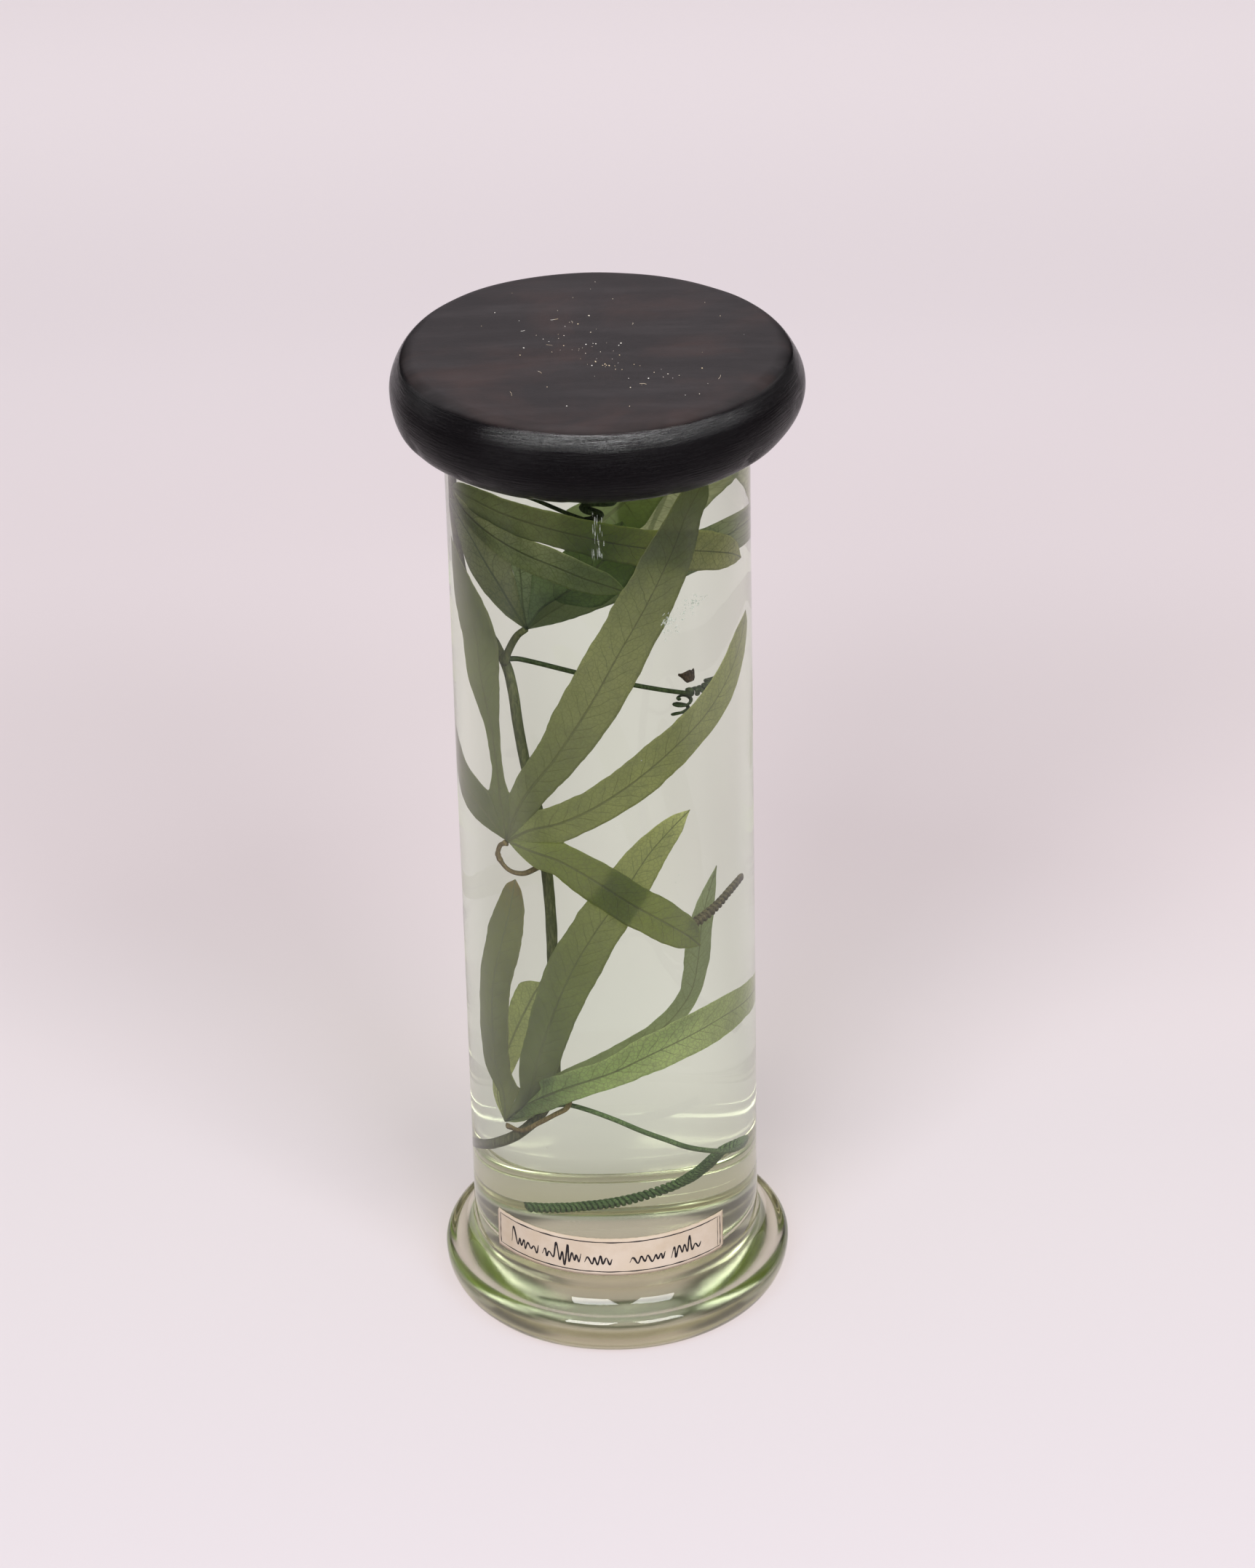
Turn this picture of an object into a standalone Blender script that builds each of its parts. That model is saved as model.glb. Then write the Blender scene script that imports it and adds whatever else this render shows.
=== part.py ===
"""Specimen jar: a footed glass cylinder of preserving fluid holding one climbing-plant cutting.

The mouth is closed by a ground cover plate under a thick pitch cap, and a paper label is glued
to the glass low on the front.

Frame: metres, +Z up, origin at the centre of the foot's underside. The label faces -Y.
Places inside the jar are given as azimuth in degrees (0 at the front, positive towards +X),
height and distance from the jar's axis in millimetres.
"""
import math

import bmesh
import bpy
from mathutils import Vector

MM = 0.001
CLEARANCE = 0.3 * MM            # gap between neighbouring pieces
MERGE = 0.01 * MM
ROUND_STEPS = 48                # facets round a turned piece

# Glass jar
WALL_RADIUS = 32.5 * MM
WALL_THICKNESS = 2.2 * MM
BORE_RADIUS = WALL_RADIUS - WALL_THICKNESS
RIM_HEIGHT = 219.6 * MM
RIM_ROUND = 0.5 * MM
FLOOR_HEIGHT = 17.0 * MM        # top of the thick glass bottom
FLOOR_CORNER = 5.0 * MM
FOOT_RADIUS = 39.5 * MM
FOOT_EDGE = 3.0 * MM            # radius of the foot's upper edge
FOOT_EDGE_HEIGHT = 7.4 * MM     # where the foot is widest
FOOT_TUCK = 5.0 * MM            # how far the underside draws in below that
FOOT_FILLET = 6.5 * MM          # hollow between wall and foot

# Fluid
FLUID_LEVEL = 213.5 * MM
PLANT_MARGIN = 0.45 * MM        # how far the fluid's cavity stands off each plant piece
PLAIN_POCKETS = ("back_leaf", "crown_leaf", "mid_tendril", "top_tendril")
POCKET_MERGE = 0.15 * MM        # points of a plain pocket closer than this become one

# Closure, stacked upward from the rim
RING_INNER = 30.9 * MM
RING_OUTER = 32.1 * MM
RING_HEIGHT = 0.8 * MM
PLATE_RADIUS = 33.5 * MM
PLATE_THICKNESS = 3.5 * MM
PLATE_BEVEL = 0.4 * MM
CAP_RADIUS = 43.8 * MM
CAP_BOTTOM = 214.4 * MM
CAP_TOP = 233.5 * MM
CAP_EDGE_REACH = 7.6 * MM       # how far the rounded edge runs inward, top and bottom
CAP_DOME = 0.5 * MM
CAP_BORE_SLACK = 0.05 * MM
BEAD_LIFT = 0.2 * MM            # how far the bead stays above the cap's underside
BEAD_HEIGHT = 4.8 * MM

# Paper label
LABEL_BOTTOM = 18.4 * MM
LABEL_TOP = 28.4 * MM
LABEL_FROM = -55.0              # degrees of azimuth
LABEL_TO = 47.0
LABEL_THICKNESS = 0.15 * MM
LABEL_COLUMNS = 24

# Plant
LEAF_THICKNESS = 0.4 * MM
WEB_ROWS = 3                    # rows between a leaf's base and its notches
LOBE_ROWS = 9
STEM_RADIUS = 1.15 * MM
STUB_RADIUS = 0.95 * MM
STUB_TIP = 0.6 * MM
BRACT_BASE = 0.7 * MM
BRACT_MOUTH = 1.3 * MM
BRACT_DEPTH = 2.6 * MM
PETIOLE_RADIUS = 0.6 * MM
CROWN_PETIOLE_RADIUS = 0.85 * MM
TENDRIL_RADIUS = 0.5 * MM
COIL_RADIUS = 1.0 * MM
COIL_START = 10 / 17            # where the thin lower shoot thickens into its tight coil


# ---------------------------------------------------------------- scene and materials

def empty_scene():
    for old in list(bpy.data.objects):
        bpy.data.objects.remove(old, do_unlink=True)


def new_collection(name):
    group = bpy.data.collections.new(name)
    bpy.context.scene.collection.children.link(group)
    return group


def make_material(name, colour, roughness, transmission=0.0, ior=1.45):
    material = bpy.data.materials.new(name)
    material.use_nodes = True
    shader = material.node_tree.nodes["Principled BSDF"]
    shader.inputs["Base Color"].default_value = (*colour, 1.0)
    shader.inputs["Roughness"].default_value = roughness
    shader.inputs["Transmission Weight"].default_value = transmission
    shader.inputs["IOR"].default_value = ior
    return material


def add_object(name, data, group, material):
    piece = bpy.data.objects.new(name, data)
    group.objects.link(piece)
    data.materials.append(material)
    return piece


def around(azimuth, height, radius):
    """A point inside the jar: degrees and millimetres in, metres out."""
    angle = math.radians(azimuth)
    return Vector((radius * math.sin(angle), -radius * math.cos(angle), height)) * MM


def inside(x, y, z):
    """A point inside the jar from plain coordinates in millimetres."""
    return Vector((x, y, z)) * MM


# ---------------------------------------------------------------- shared shapes

def arc(centre_radius, centre_height, radius, start, end, steps):
    """Points of a turned profile along an arc, angles in degrees."""
    points = []
    for i in range(steps + 1):
        angle = math.radians(start + (end - start) * i / steps)
        points.append((centre_radius + radius * math.cos(angle),
                       centre_height + radius * math.sin(angle)))
    return points


def turned(name, profile, closed, group, material):
    """A profile of (radius, height) turned round Z. It runs down the outer side."""
    mesh = bpy.data.meshes.new(name)
    edges = [(i, i + 1) for i in range(len(profile) - 1)]
    if closed:
        edges.append((len(profile) - 1, 0))
    mesh.from_pydata([(radius, 0.0, height) for radius, height in profile], edges, [])
    piece = add_object(name, mesh, group, material)
    screw = piece.modifiers.new("turn", "SCREW")
    screw.axis = "Z"
    screw.steps = ROUND_STEPS
    screw.render_steps = ROUND_STEPS
    screw.use_merge_vertices = True
    screw.merge_threshold = MERGE
    screw.use_smooth_shade = True
    return piece


def catmull(before, start, end, after, t):
    """Catmull-Rom blend of four values or vectors."""
    return (start * 2 + (end - before) * t
            + (before * 2 - start * 5 + end * 4 - after) * (t * t)
            + (start * 3 - before - end * 3 + after) * (t * t * t)) * 0.5


def along(values, fraction):
    """The value at a fraction of the way along a smooth curve through all values."""
    spans = len(values) - 1
    place = min(max(fraction, 0.0), 1.0) * spans
    i = min(int(place), spans - 1)
    before = values[i - 1] if i > 0 else values[i] * 2 - values[i + 1]
    after = values[i + 2] if i + 2 <= spans else values[i + 1] * 2 - values[i]
    return catmull(before, values[i], values[i + 1], after, place - i)


def tube(name, points, start_radius, end_radius, samples, group, material):
    """A round stem, petiole or tendril through the given points."""
    curve = bpy.data.curves.new(name, "CURVE")
    curve.dimensions = "3D"
    curve.bevel_depth = start_radius
    curve.bevel_resolution = 2
    curve.use_fill_caps = True
    spline = curve.splines.new("POLY")
    spline.points.add(samples)
    for i, point in enumerate(spline.points):
        fraction = i / samples
        point.co = (*along(points, fraction), 1.0)
        point.radius = 1.0 + (end_radius / start_radius - 1.0) * fraction
    return add_object(name, curve, group, material)


# ---------------------------------------------------------------- leaves

def distance_fraction(points, distance):
    """How far along the curve lies the given straight-line distance from its start."""
    steps = 200
    for i in range(steps + 1):
        if (along(points, i / steps) - points[0]).length >= distance:
            return i / steps
    return 1.0


def edge_point(centre, tangent, half_width, side, facing):
    """A point on a lobe's edge. A lobe that hugs the wall keeps its centre's radius."""
    if facing is None:
        outward = Vector((centre.x, centre.y, 0.0)).normalized()
    else:
        outward = around(facing, 0.0, 1.0).normalized()
    across = outward.cross(tangent).normalized()
    point = centre + across * (half_width * side)
    if facing is None:
        reach = Vector((centre.x, centre.y)).length / Vector((point.x, point.y)).length
        point = Vector((point.x * reach, point.y * reach, point.z))
    return point


def lobe_rails(base, lobe, left_notch, right_notch):
    """Left, centre and right rails of one lobe, from the leaf's base to the lobe's tip."""
    stations = [base] + [around(*station[:3]) for station in lobe["stations"]]
    widths = [0.0] + [station[3] * MM for station in lobe["stations"]]
    notches = [notch for notch in (left_notch, right_notch) if notch is not None]
    reach = sum((notch - base).length for notch in notches) / len(notches)
    web_end = distance_fraction(stations, reach)
    rows = []
    for row in range(LOBE_ROWS + 1):
        if row <= WEB_ROWS:
            fraction = web_end * row / WEB_ROWS
        else:
            fraction = web_end + (1 - web_end) * (row - WEB_ROWS) / (LOBE_ROWS - WEB_ROWS)
        centre = along(stations, fraction)
        step = along(stations, fraction + 0.01) - along(stations, fraction - 0.01)
        half_width = max(along(widths, fraction), 0.0) / 2
        sides = []
        for side, notch in ((1, left_notch), (-1, right_notch)):
            if notch is not None and row <= WEB_ROWS:
                sides.append(base.lerp(notch, row / WEB_ROWS))
            else:
                sides.append(edge_point(centre, step.normalized(), half_width, side,
                                        lobe.get("facing")))
        rows.append((sides[0], centre, sides[1]))
    tip = rows[-1][1]
    rows[-1] = (tip, tip, tip)
    return rows


def leaf(name, base, lobes, notches, group, material):
    """A palmate leaf: lobes in order, with one notch between each pair of neighbours."""
    shape = bmesh.new()
    bounds = [None] + [around(*notch) for notch in notches] + [None]
    for i, lobe in enumerate(lobes):
        rows = lobe_rails(around(*base), lobe, bounds[i], bounds[i + 1])
        grid = [[shape.verts.new(point) for point in row] for row in rows]
        for upper, lower in zip(grid, grid[1:]):
            for j in (0, 1):
                shape.faces.new((upper[j], upper[j + 1], lower[j + 1], lower[j]))
    bmesh.ops.remove_doubles(shape, verts=shape.verts, dist=MERGE)
    bmesh.ops.dissolve_degenerate(shape, edges=shape.edges, dist=MERGE)
    bmesh.ops.recalc_face_normals(shape, faces=shape.faces)
    mesh = bpy.data.meshes.new(name)
    shape.to_mesh(mesh)
    shape.free()
    mesh.shade_smooth()
    piece = add_object(name, mesh, group, material)
    shell = piece.modifiers.new("thickness", "SOLIDIFY")
    shell.thickness = LEAF_THICKNESS
    shell.offset = 0.0
    return piece


def upper_leaf(group, material):
    """Five lobes spread flat against the front wall."""
    left = [(-54, 129, 28.4, 5.0), (-63, 131.5, 28.6, 6.5), (-73, 134, 28.6, 7.0),
            (-84, 139, 28.6, 6.5), (-96, 146, 28.4, 5.0), (-112, 157, 27.8, 0.0)]
    upper_left = [(-48, 134, 28.5, 3.0), (-50, 144, 28.6, 2.2), (-51, 153, 28.6, 3.0),
                  (-54, 164, 28.6, 7.0), (-59, 174, 28.6, 7.2), (-67, 183, 28.6, 5.5),
                  (-79, 190.5, 28.6, 0.0)]
    middle = [(-36, 137, 28.5, 6.0), (-18, 149, 28.6, 8.7), (-4, 163, 28.6, 11.8),
              (8, 174, 28.6, 12.2), (20, 186, 28.6, 12.2), (31, 197, 28.6, 11.0),
              (39, 204.5, 28.6, 9.2), (48, 212.3, 28.6, 0.0)]
    right = [(-33, 130.5, 28.5, 6.0), (-18, 134, 28.6, 6.7), (-3, 139, 28.6, 7.7),
             (12, 145, 28.6, 8.3), (28, 151, 28.6, 8.0), (44, 156.5, 28.6, 7.4),
             (58, 162, 28.6, 6.3), (68, 167, 28.6, 4.3), (76, 171.5, 28.6, 0.0)]
    lower_right = [(-33, 126, 28.5, 5.5), (-20, 124, 28.6, 7.5), (-5, 119.5, 28.6, 8.4),
                   (9, 114, 28.6, 8.8), (23, 108.5, 28.6, 8.7), (34, 103, 28.6, 6.5),
                   (41, 98.8, 28.5, 0.0)]
    lobes = [{"stations": stations} for stations in
             (left, upper_left, middle, right, lower_right)]
    notches = [(-56, 136, 28.6), (-43, 138, 28.6), (-29, 136, 28.6), (-18, 129, 28.6)]
    return leaf("upper_leaf", (-46, 125.5, 28.0), lobes, notches, group, material)


def lower_leaf(group, material):
    """Five lobes: the outer two fold back behind their neighbours."""
    folded_left = [(-66, 55, 24.0, 4.0), (-68, 62, 21.5, 5.5), (-62, 72, 20.0, 6.0),
                   (-53, 81, 19.5, 6.0), (-45, 88, 20.0, 0.0)]
    left = [(-57.5, 57, 25.8, 5.0), (-60, 65, 26.3, 7.0), (-61, 75, 26.5, 8.2),
            (-59, 86, 26.5, 8.0), (-54.5, 98, 26.5, 6.9), (-49, 109, 26.2, 5.0),
            (-44.5, 115, 25.8, 0.0)]
    middle = [(-45, 58, 25.3, 5.0), (-36, 68, 25.3, 8.6), (-27.5, 80, 25.6, 9.8),
              (-17.5, 93, 26.0, 9.8), (-6, 105, 26.4, 9.6), (6.5, 115.5, 26.6, 9.0),
              (20, 125, 26.5, 7.3), (38.5, 133, 26.0, 0.0)]
    right = [(-46, 56, 25.7, 5.0), (-33, 62, 26.5, 6.0), (-18, 66.8, 27.3, 5.8),
             (0, 71, 27.5, 6.4), (18, 75, 27.5, 8.8), (36, 77, 27.5, 9.6),
             (54, 77.5, 27.5, 9.0), (74, 76.5, 27.5, 7.6), (98, 73, 27.5, 5.6),
             (128, 67, 27.0, 0.0)]
    folded_right = [(-48, 54, 24.8, 4.0), (-37, 61, 24.0, 5.0), (-22, 67.2, 22.8, 5.4),
                    (-7, 70.5, 21.6, 5.6), (10, 75, 21.5, 5.8), (26, 79, 21.6, 5.8),
                    (38, 85.5, 22.0, 5.4), (45, 93, 22.4, 5.2), (49, 101, 22.8, 5.2),
                    (60, 113.5, 23.6, 0.0)]
    lobes = [{"stations": stations} for stations in
             (folded_left, left, middle, right, folded_right)]
    notches = [(-62.5, 56.5, 25.4), (-46.5, 62.5, 25.8), (-27, 68, 26.2), (-46, 53.2, 25.2)]
    return leaf("lower_leaf", (-58, 49.5, 25.5), lobes, notches, group, material)


def crown_leaf(group, material):
    """Four lobes folded up like a cup, one of them crossing the jar to the back."""
    left = [(-47, 181, 22.6, 5.0), (-53, 185, 23.4, 7.5), (-61, 189, 24.2, 8.2),
            (-70, 193.2, 24.8, 8.0), (-78, 195, 25.2, 6.0), (-87, 195.7, 25.6, 0.0)]
    middle_left = [(-43, 182, 21.9, 6.0), (-47, 187, 21.5, 8.8), (-50, 193, 21.2, 9.0),
                   (-50, 199, 21.0, 7.0), (-49, 206, 20.8, 0.0)]
    middle_right = [(-34, 182, 21.0, 7.0), (-27, 187, 20.3, 10.5), (-21, 193, 19.3, 11.0),
                    (-16, 199, 18.6, 8.5), (-12, 205, 18.0, 0.0)]
    crossing = [(-35, 179.9, 13.4, 7.0), (-25, 181.2, 5.5, 9.0), (131, 182.5, 9.1, 9.6),
                (138, 182.4, 16.1, 9.2), (141, 183.2, 21.5, 8.2), (140, 185.5, 25.0, 6.0),
                (134, 188.5, 26.0, 0.0)]
    lobes = [{"stations": left}, {"stations": middle_left}, {"stations": middle_right},
             {"stations": crossing, "facing": 20.0}]
    notches = [(-55, 188, 23.2), (-41, 190.5, 21.6), (-31, 184, 17.5)]
    return leaf("crown_leaf", (-39, 176.9, 22.0), lobes, notches, group, material)


def top_leaf(group, material):
    """Two long lobes that come in from the upper left."""
    upper = [(-72, 205, 26.8, 4.0), (-58, 206, 27.0, 5.0), (-42, 205.8, 27.0, 6.0),
             (-26, 205, 27.0, 7.0), (-10, 203.6, 27.0, 7.4), (8, 201, 27.0, 7.2),
             (26, 198, 27.0, 6.8), (42, 195, 27.0, 6.2), (57, 191.5, 27.0, 5.0),
             (77, 186, 27.0, 0.0)]
    lower = [(-74, 201, 26.5, 4.0), (-60, 200, 26.3, 5.5), (-46, 198.5, 26.0, 6.5),
             (-33, 196.8, 26.0, 7.0), (-20, 195, 26.0, 7.5), (-9, 192.8, 26.0, 7.4),
             (0, 191, 26.0, 5.5), (9, 189.3, 26.0, 0.0)]
    lobes = [{"stations": upper}, {"stations": lower}]
    return leaf("top_leaf", (-84, 203, 26.5), lobes, [(-66, 202.7, 26.8)], group, material)


def back_leaf(group, material):
    """Two short lobes that hang down the back wall from the top."""
    outer = [(153, 205, 28.0, 6.0), (153.5, 198, 28.2, 8.0), (156, 191, 28.2, 6.0),
             (160, 185.5, 28.2, 0.0)]
    inner = [(159, 206, 28.0, 6.0), (167, 200.5, 28.0, 9.0), (173, 193, 28.0, 7.5),
             (178, 186, 28.0, 0.0)]
    lobes = [{"stations": inner}, {"stations": outer}]
    return leaf("back_leaf", (151, 210.5, 27.6), lobes, [(157.5, 203, 28.0)], group, material)


# ---------------------------------------------------------------- stems and tendrils

def stem_and_petioles(group, stem_green, petiole_brown):
    main_path = [around(*place) for place in (
        (-92, 214.6, 21.5), (-90, 207, 22.0), (-84, 198, 21.5), (-72, 186, 20.5),
        (-60, 176, 20.0), (-54, 169.5, 20.0), (-50.5, 160, 20.0), (-49, 152, 20.0),
        (-45, 142, 20.0), (-38, 131, 20.0), (-34.5, 118, 20.0), (-34, 106, 20.0),
        (-34, 94, 20.0), (-34, 82, 19.5), (-34.5, 70, 19.0), (-36, 62, 19.5),
        (-41, 54.5, 21.0), (-52, 47.5, 23.5), (-68, 41, 25.5), (-86, 35.5, 26.5),
        (-97, 32, 27.0))]
    upper_path = [around(*place) for place in (
        (-36, 119, 21.9), (-43, 117, 24.3), (-50, 117.3, 26.0), (-55, 120, 27.0),
        (-51.5, 123.2, 27.6), (-46.9, 124.8, 27.9))]
    lower_path = [around(*place) for place in (
        (-56.8, 48.7, 25.4), (-47, 49.6, 25.3), (-38, 53, 25.0), (-29, 56.5, 24.6),
        (-23.5, 58.5, 24.0), (-22.5, 60.3, 23.0), (-27, 61, 21.9), (-33, 61.5, 21.5))]
    crown_path = [around(*place) for place in (
        (-53.5, 172, 22.2), (-47.5, 174.5, 22.4), (-41.3, 176.4, 22.1))]
    top_path = [around(*place) for place in (
        (-85.5, 197.5, 23.5), (-87.5, 200, 25.0), (-84.9, 202.5, 26.25))]
    back_path = [around(*place) for place in (
        (150.4, 211.2, 27.5), (147, 213, 26.6), (142, 214.6, 25.5))]
    tube("main_stem", main_path, STEM_RADIUS, STEM_RADIUS * 1.1, 36, group, stem_green)
    tube("upper_petiole", upper_path, PETIOLE_RADIUS, PETIOLE_RADIUS, 14, group, petiole_brown)
    tube("lower_petiole", lower_path, PETIOLE_RADIUS, PETIOLE_RADIUS, 18, group, petiole_brown)
    tube("crown_petiole", crown_path, CROWN_PETIOLE_RADIUS, PETIOLE_RADIUS, 6, group, stem_green)
    tube("top_petiole", top_path, PETIOLE_RADIUS, PETIOLE_RADIUS, 6, group, stem_green)
    tube("back_petiole", back_path, PETIOLE_RADIUS, PETIOLE_RADIUS, 6, group, stem_green)


def coil(centre, axis_step, radius, turns, per_turn):
    """Points of a loose coil that drifts along axis_step with each turn."""
    points = []
    for i in range(turns * per_turn + 1):
        angle = 2 * math.pi * i / per_turn
        spread = Vector((radius * math.cos(angle), 0.3 * radius * math.sin(angle),
                         radius * math.sin(angle)))
        points.append(centre + spread + axis_step * (i / per_turn))
    return points


def tendrils(group, tendril_green, bract_brown):
    mid_path = [inside(-14.4, -11.2, 168.7), inside(-10, -9.8, 166.3), inside(-5.7, -8, 163.9),
                inside(-0.5, -6, 161.3), inside(5.7, -4, 158.2), inside(13.2, -0.8, 154.4)]
    mid_path += coil(inside(12.0, 0.6, 150.2), inside(0, 1.6, 0), 1.5 * MM, 2, 8)
    tube("mid_tendril", mid_path, TENDRIL_RADIUS, 0.7 * TENDRIL_RADIUS, 36, group, tendril_green)

    top_path = [inside(-20.2, 0.6, 208.3), inside(-13.5, 0, 203.8), inside(-8.8, 0, 201.3),
                inside(-4.6, 0, 198.6), inside(-2.2, 0, 197.2)]
    top_path += coil(inside(0.6, 0.8, 199.0), inside(0, 1.6, 0), 1.7 * MM, 2, 8)
    tube("top_tendril", top_path, TENDRIL_RADIUS, 0.8 * TENDRIL_RADIUS, 36, group, tendril_green)

    low_path = [around(*place) for place in (
        (-35.5, 56.4, 22.1), (-25, 56.6, 22.0), (-13, 56.3, 22.2), (1, 54.2, 22.4),
        (14, 51.2, 22.6), (27, 48, 23.0), (38, 45, 23.5), (52, 41.5, 24.2), (66, 38, 24.6),
        (80, 35.5, 24.0))]
    low_path += [inside(21, 3, 32), inside(16, 9, 29), inside(12, 13, 25.6), inside(7.5, 14.2, 21.6),
                 inside(2.5, 10.8, 19.4), inside(-3, 8, 18.9), inside(-8.5, 6.2, 18.9),
                 inside(-13.4, 4.2, 18.9)]
    lower = tube("lower_tendril", low_path, TENDRIL_RADIUS, COIL_RADIUS, 42, group, tendril_green)
    last = len(lower.data.splines[0].points) - 1
    for i, point in enumerate(lower.data.splines[0].points):
        grown = min(max((i / last - COIL_START) / 0.06, 0.0), 1.0)
        point.radius = 1.0 + (COIL_RADIUS / TENDRIL_RADIUS - 1.0) * grown

    stub_path = [around(*place) for place in (
        (38.5, 104, 26.8), (44, 106, 26.7), (52, 107.2, 26.5), (62, 107.6, 26.3),
        (73, 107.4, 26.2))]
    tube("tendril_stub", stub_path, STUB_RADIUS, STUB_TIP, 12, group, tendril_green)

    cup = bmesh.new()
    bmesh.ops.create_cone(cup, cap_ends=True, segments=12, radius1=BRACT_BASE,
                          radius2=BRACT_MOUTH, depth=BRACT_DEPTH)
    mesh = bpy.data.meshes.new("tendril_bract")
    cup.to_mesh(mesh)
    cup.free()
    bract = add_object("tendril_bract", mesh, group, bract_brown)
    bract.location = inside(13.4, -0.4, 156.9)
    bract.rotation_euler = (math.radians(-10), math.radians(-18), 0.0)


# ---------------------------------------------------------------- vessel and closure

def jar_body(group, glass):
    edge_centre = FOOT_RADIUS - FOOT_EDGE
    fillet_centre = WALL_RADIUS + FOOT_FILLET
    between = fillet_centre - edge_centre
    rise = math.sqrt((FOOT_EDGE + FOOT_FILLET) ** 2 - between ** 2)
    meeting = math.degrees(math.atan2(rise, between))
    tuck = arc(0.0, 0.0, 1.0, 0, -90, 5)[1:]
    profile = [(0.0, FLOOR_HEIGHT)]
    profile += arc(BORE_RADIUS - FLOOR_CORNER, FLOOR_HEIGHT + FLOOR_CORNER, FLOOR_CORNER,
                   -90, 0, 5)
    profile += arc(BORE_RADIUS + RIM_ROUND, RIM_HEIGHT - RIM_ROUND, RIM_ROUND, 180, 90, 2)
    profile += arc(WALL_RADIUS - RIM_ROUND, RIM_HEIGHT - RIM_ROUND, RIM_ROUND, 90, 0, 2)
    profile += arc(fillet_centre, FOOT_EDGE_HEIGHT + rise, FOOT_FILLET, 180, 180 + meeting, 6)
    profile += arc(edge_centre, FOOT_EDGE_HEIGHT, FOOT_EDGE, meeting, 0, 4)[1:]
    profile += [(FOOT_RADIUS + FOOT_TUCK * (across - 1.0), FOOT_EDGE_HEIGHT * (1.0 + drop))
                for across, drop in tuck]
    profile.append((0.0, 0.0))
    return turned("jar_body", profile, False, group, glass)


def preserving_fluid(group, fluid, plant_pieces, cutters):
    """The liquid, with a cavity a little larger than the whole plant.

    The two curled tendrils and the folded leaves get a plain pocket, without their hollows.
    """
    radius = BORE_RADIUS - CLEARANCE
    bottom = FLOOR_HEIGHT + CLEARANCE
    corner = FLOOR_CORNER - CLEARANCE
    profile = [(0.0, FLUID_LEVEL), (radius, FLUID_LEVEL)]
    profile += arc(radius - corner, bottom + corner, corner, 0, -90, 5)
    profile.append((0.0, bottom))
    piece = turned("preserving_fluid", profile, False, group, fluid)
    cavities = [grown_copy(plant, cutters) for plant in plant_pieces]
    for cavity in cavities[1:]:
        combine(cavities[0], "UNION", cavity)
    combine(piece, "DIFFERENCE", cavities[0])
    return piece


def combine(piece, operation, other):
    step = piece.modifiers.new(other.name, "BOOLEAN")
    step.operation = operation
    step.solver = "MANIFOLD"     # EXACT drops a cavity where two of them join
    step.object = other


def outer_hull(shape):
    """Replaces a shape by the convex hull of its points."""
    hull = bmesh.new()
    for vertex in shape.verts:
        hull.verts.new(vertex.co)
    shape.free()
    bmesh.ops.remove_doubles(hull, verts=hull.verts, dist=POCKET_MERGE)
    made = bmesh.ops.convex_hull(hull, input=hull.verts)
    spare = {item for item in made["geom_interior"] + made["geom_unused"]
             if isinstance(item, bmesh.types.BMVert)}
    bmesh.ops.delete(hull, geom=list(spare), context="VERTS")
    return hull


def grown_copy(piece, cutters):
    """A cutter: the piece's finished mesh with every point moved outward by the margin."""
    bpy.context.view_layer.update()
    finished = piece.evaluated_get(bpy.context.evaluated_depsgraph_get())
    mesh = bpy.data.meshes.new_from_object(finished)
    shape = bmesh.new()
    shape.from_mesh(mesh)
    bmesh.ops.remove_doubles(shape, verts=shape.verts, dist=MERGE)
    shape.normal_update()
    moved = [vertex.co + vertex.normal * PLANT_MARGIN for vertex in shape.verts]
    for vertex, place in zip(shape.verts, moved):
        vertex.co = place
    if piece.name in PLAIN_POCKETS:
        shape = outer_hull(shape)
    shape.to_mesh(mesh)
    shape.free()
    cavity = bpy.data.objects.new("cavity_" + piece.name, mesh)
    cutters.objects.link(cavity)
    cavity.matrix_world = piece.matrix_world
    cavity.hide_render = True
    cavity.display_type = "WIRE"
    return cavity


def closure(group, pitch, cement, plate_glass):
    """Seal ring, cover plate, pitch cap and the bead left round the neck."""
    ring_bottom = RIM_HEIGHT + CLEARANCE
    ring_top = ring_bottom + RING_HEIGHT
    plate_bottom = ring_top + CLEARANCE
    plate_top = plate_bottom + PLATE_THICKNESS
    turned("rim_seal_ring", [(RING_INNER, ring_bottom), (RING_INNER, ring_top),
                             (RING_OUTER, ring_top), (RING_OUTER, ring_bottom)],
           True, group, cement)

    plate_slide = bpy.data.objects.new("plate_slide", None)
    plate_slide.location = (0.0, 0.0, plate_bottom)
    group.objects.link(plate_slide)
    flat = PLATE_RADIUS - PLATE_BEVEL
    plate = turned("cover_plate", [(0.0, PLATE_THICKNESS), (flat, PLATE_THICKNESS),
                                   (PLATE_RADIUS, PLATE_THICKNESS - PLATE_BEVEL),
                                   (PLATE_RADIUS, PLATE_BEVEL), (flat, 0.0), (0.0, 0.0)],
                   False, group, plate_glass)
    plate.parent = plate_slide

    cap_slide = bpy.data.objects.new("cap_slide", None)
    cap_slide.location = (0.0, 0.0, CAP_BOTTOM - plate_bottom)
    cap_slide.parent = plate_slide
    group.objects.link(cap_slide)
    cap = turned("seal_cap", cap_profile(plate_top - CAP_BOTTOM), False, group, pitch)
    cap.parent = cap_slide

    bead_inner = WALL_RADIUS + CLEARANCE
    bead_outer = PLATE_RADIUS
    bead_bottom = CAP_BOTTOM + BEAD_LIFT
    turned("neck_seal_bead", [(bead_inner, bead_bottom), (bead_inner, bead_bottom + BEAD_HEIGHT),
                              (bead_outer, bead_bottom + BEAD_HEIGHT), (bead_outer, bead_bottom)],
           True, group, pitch)


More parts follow.
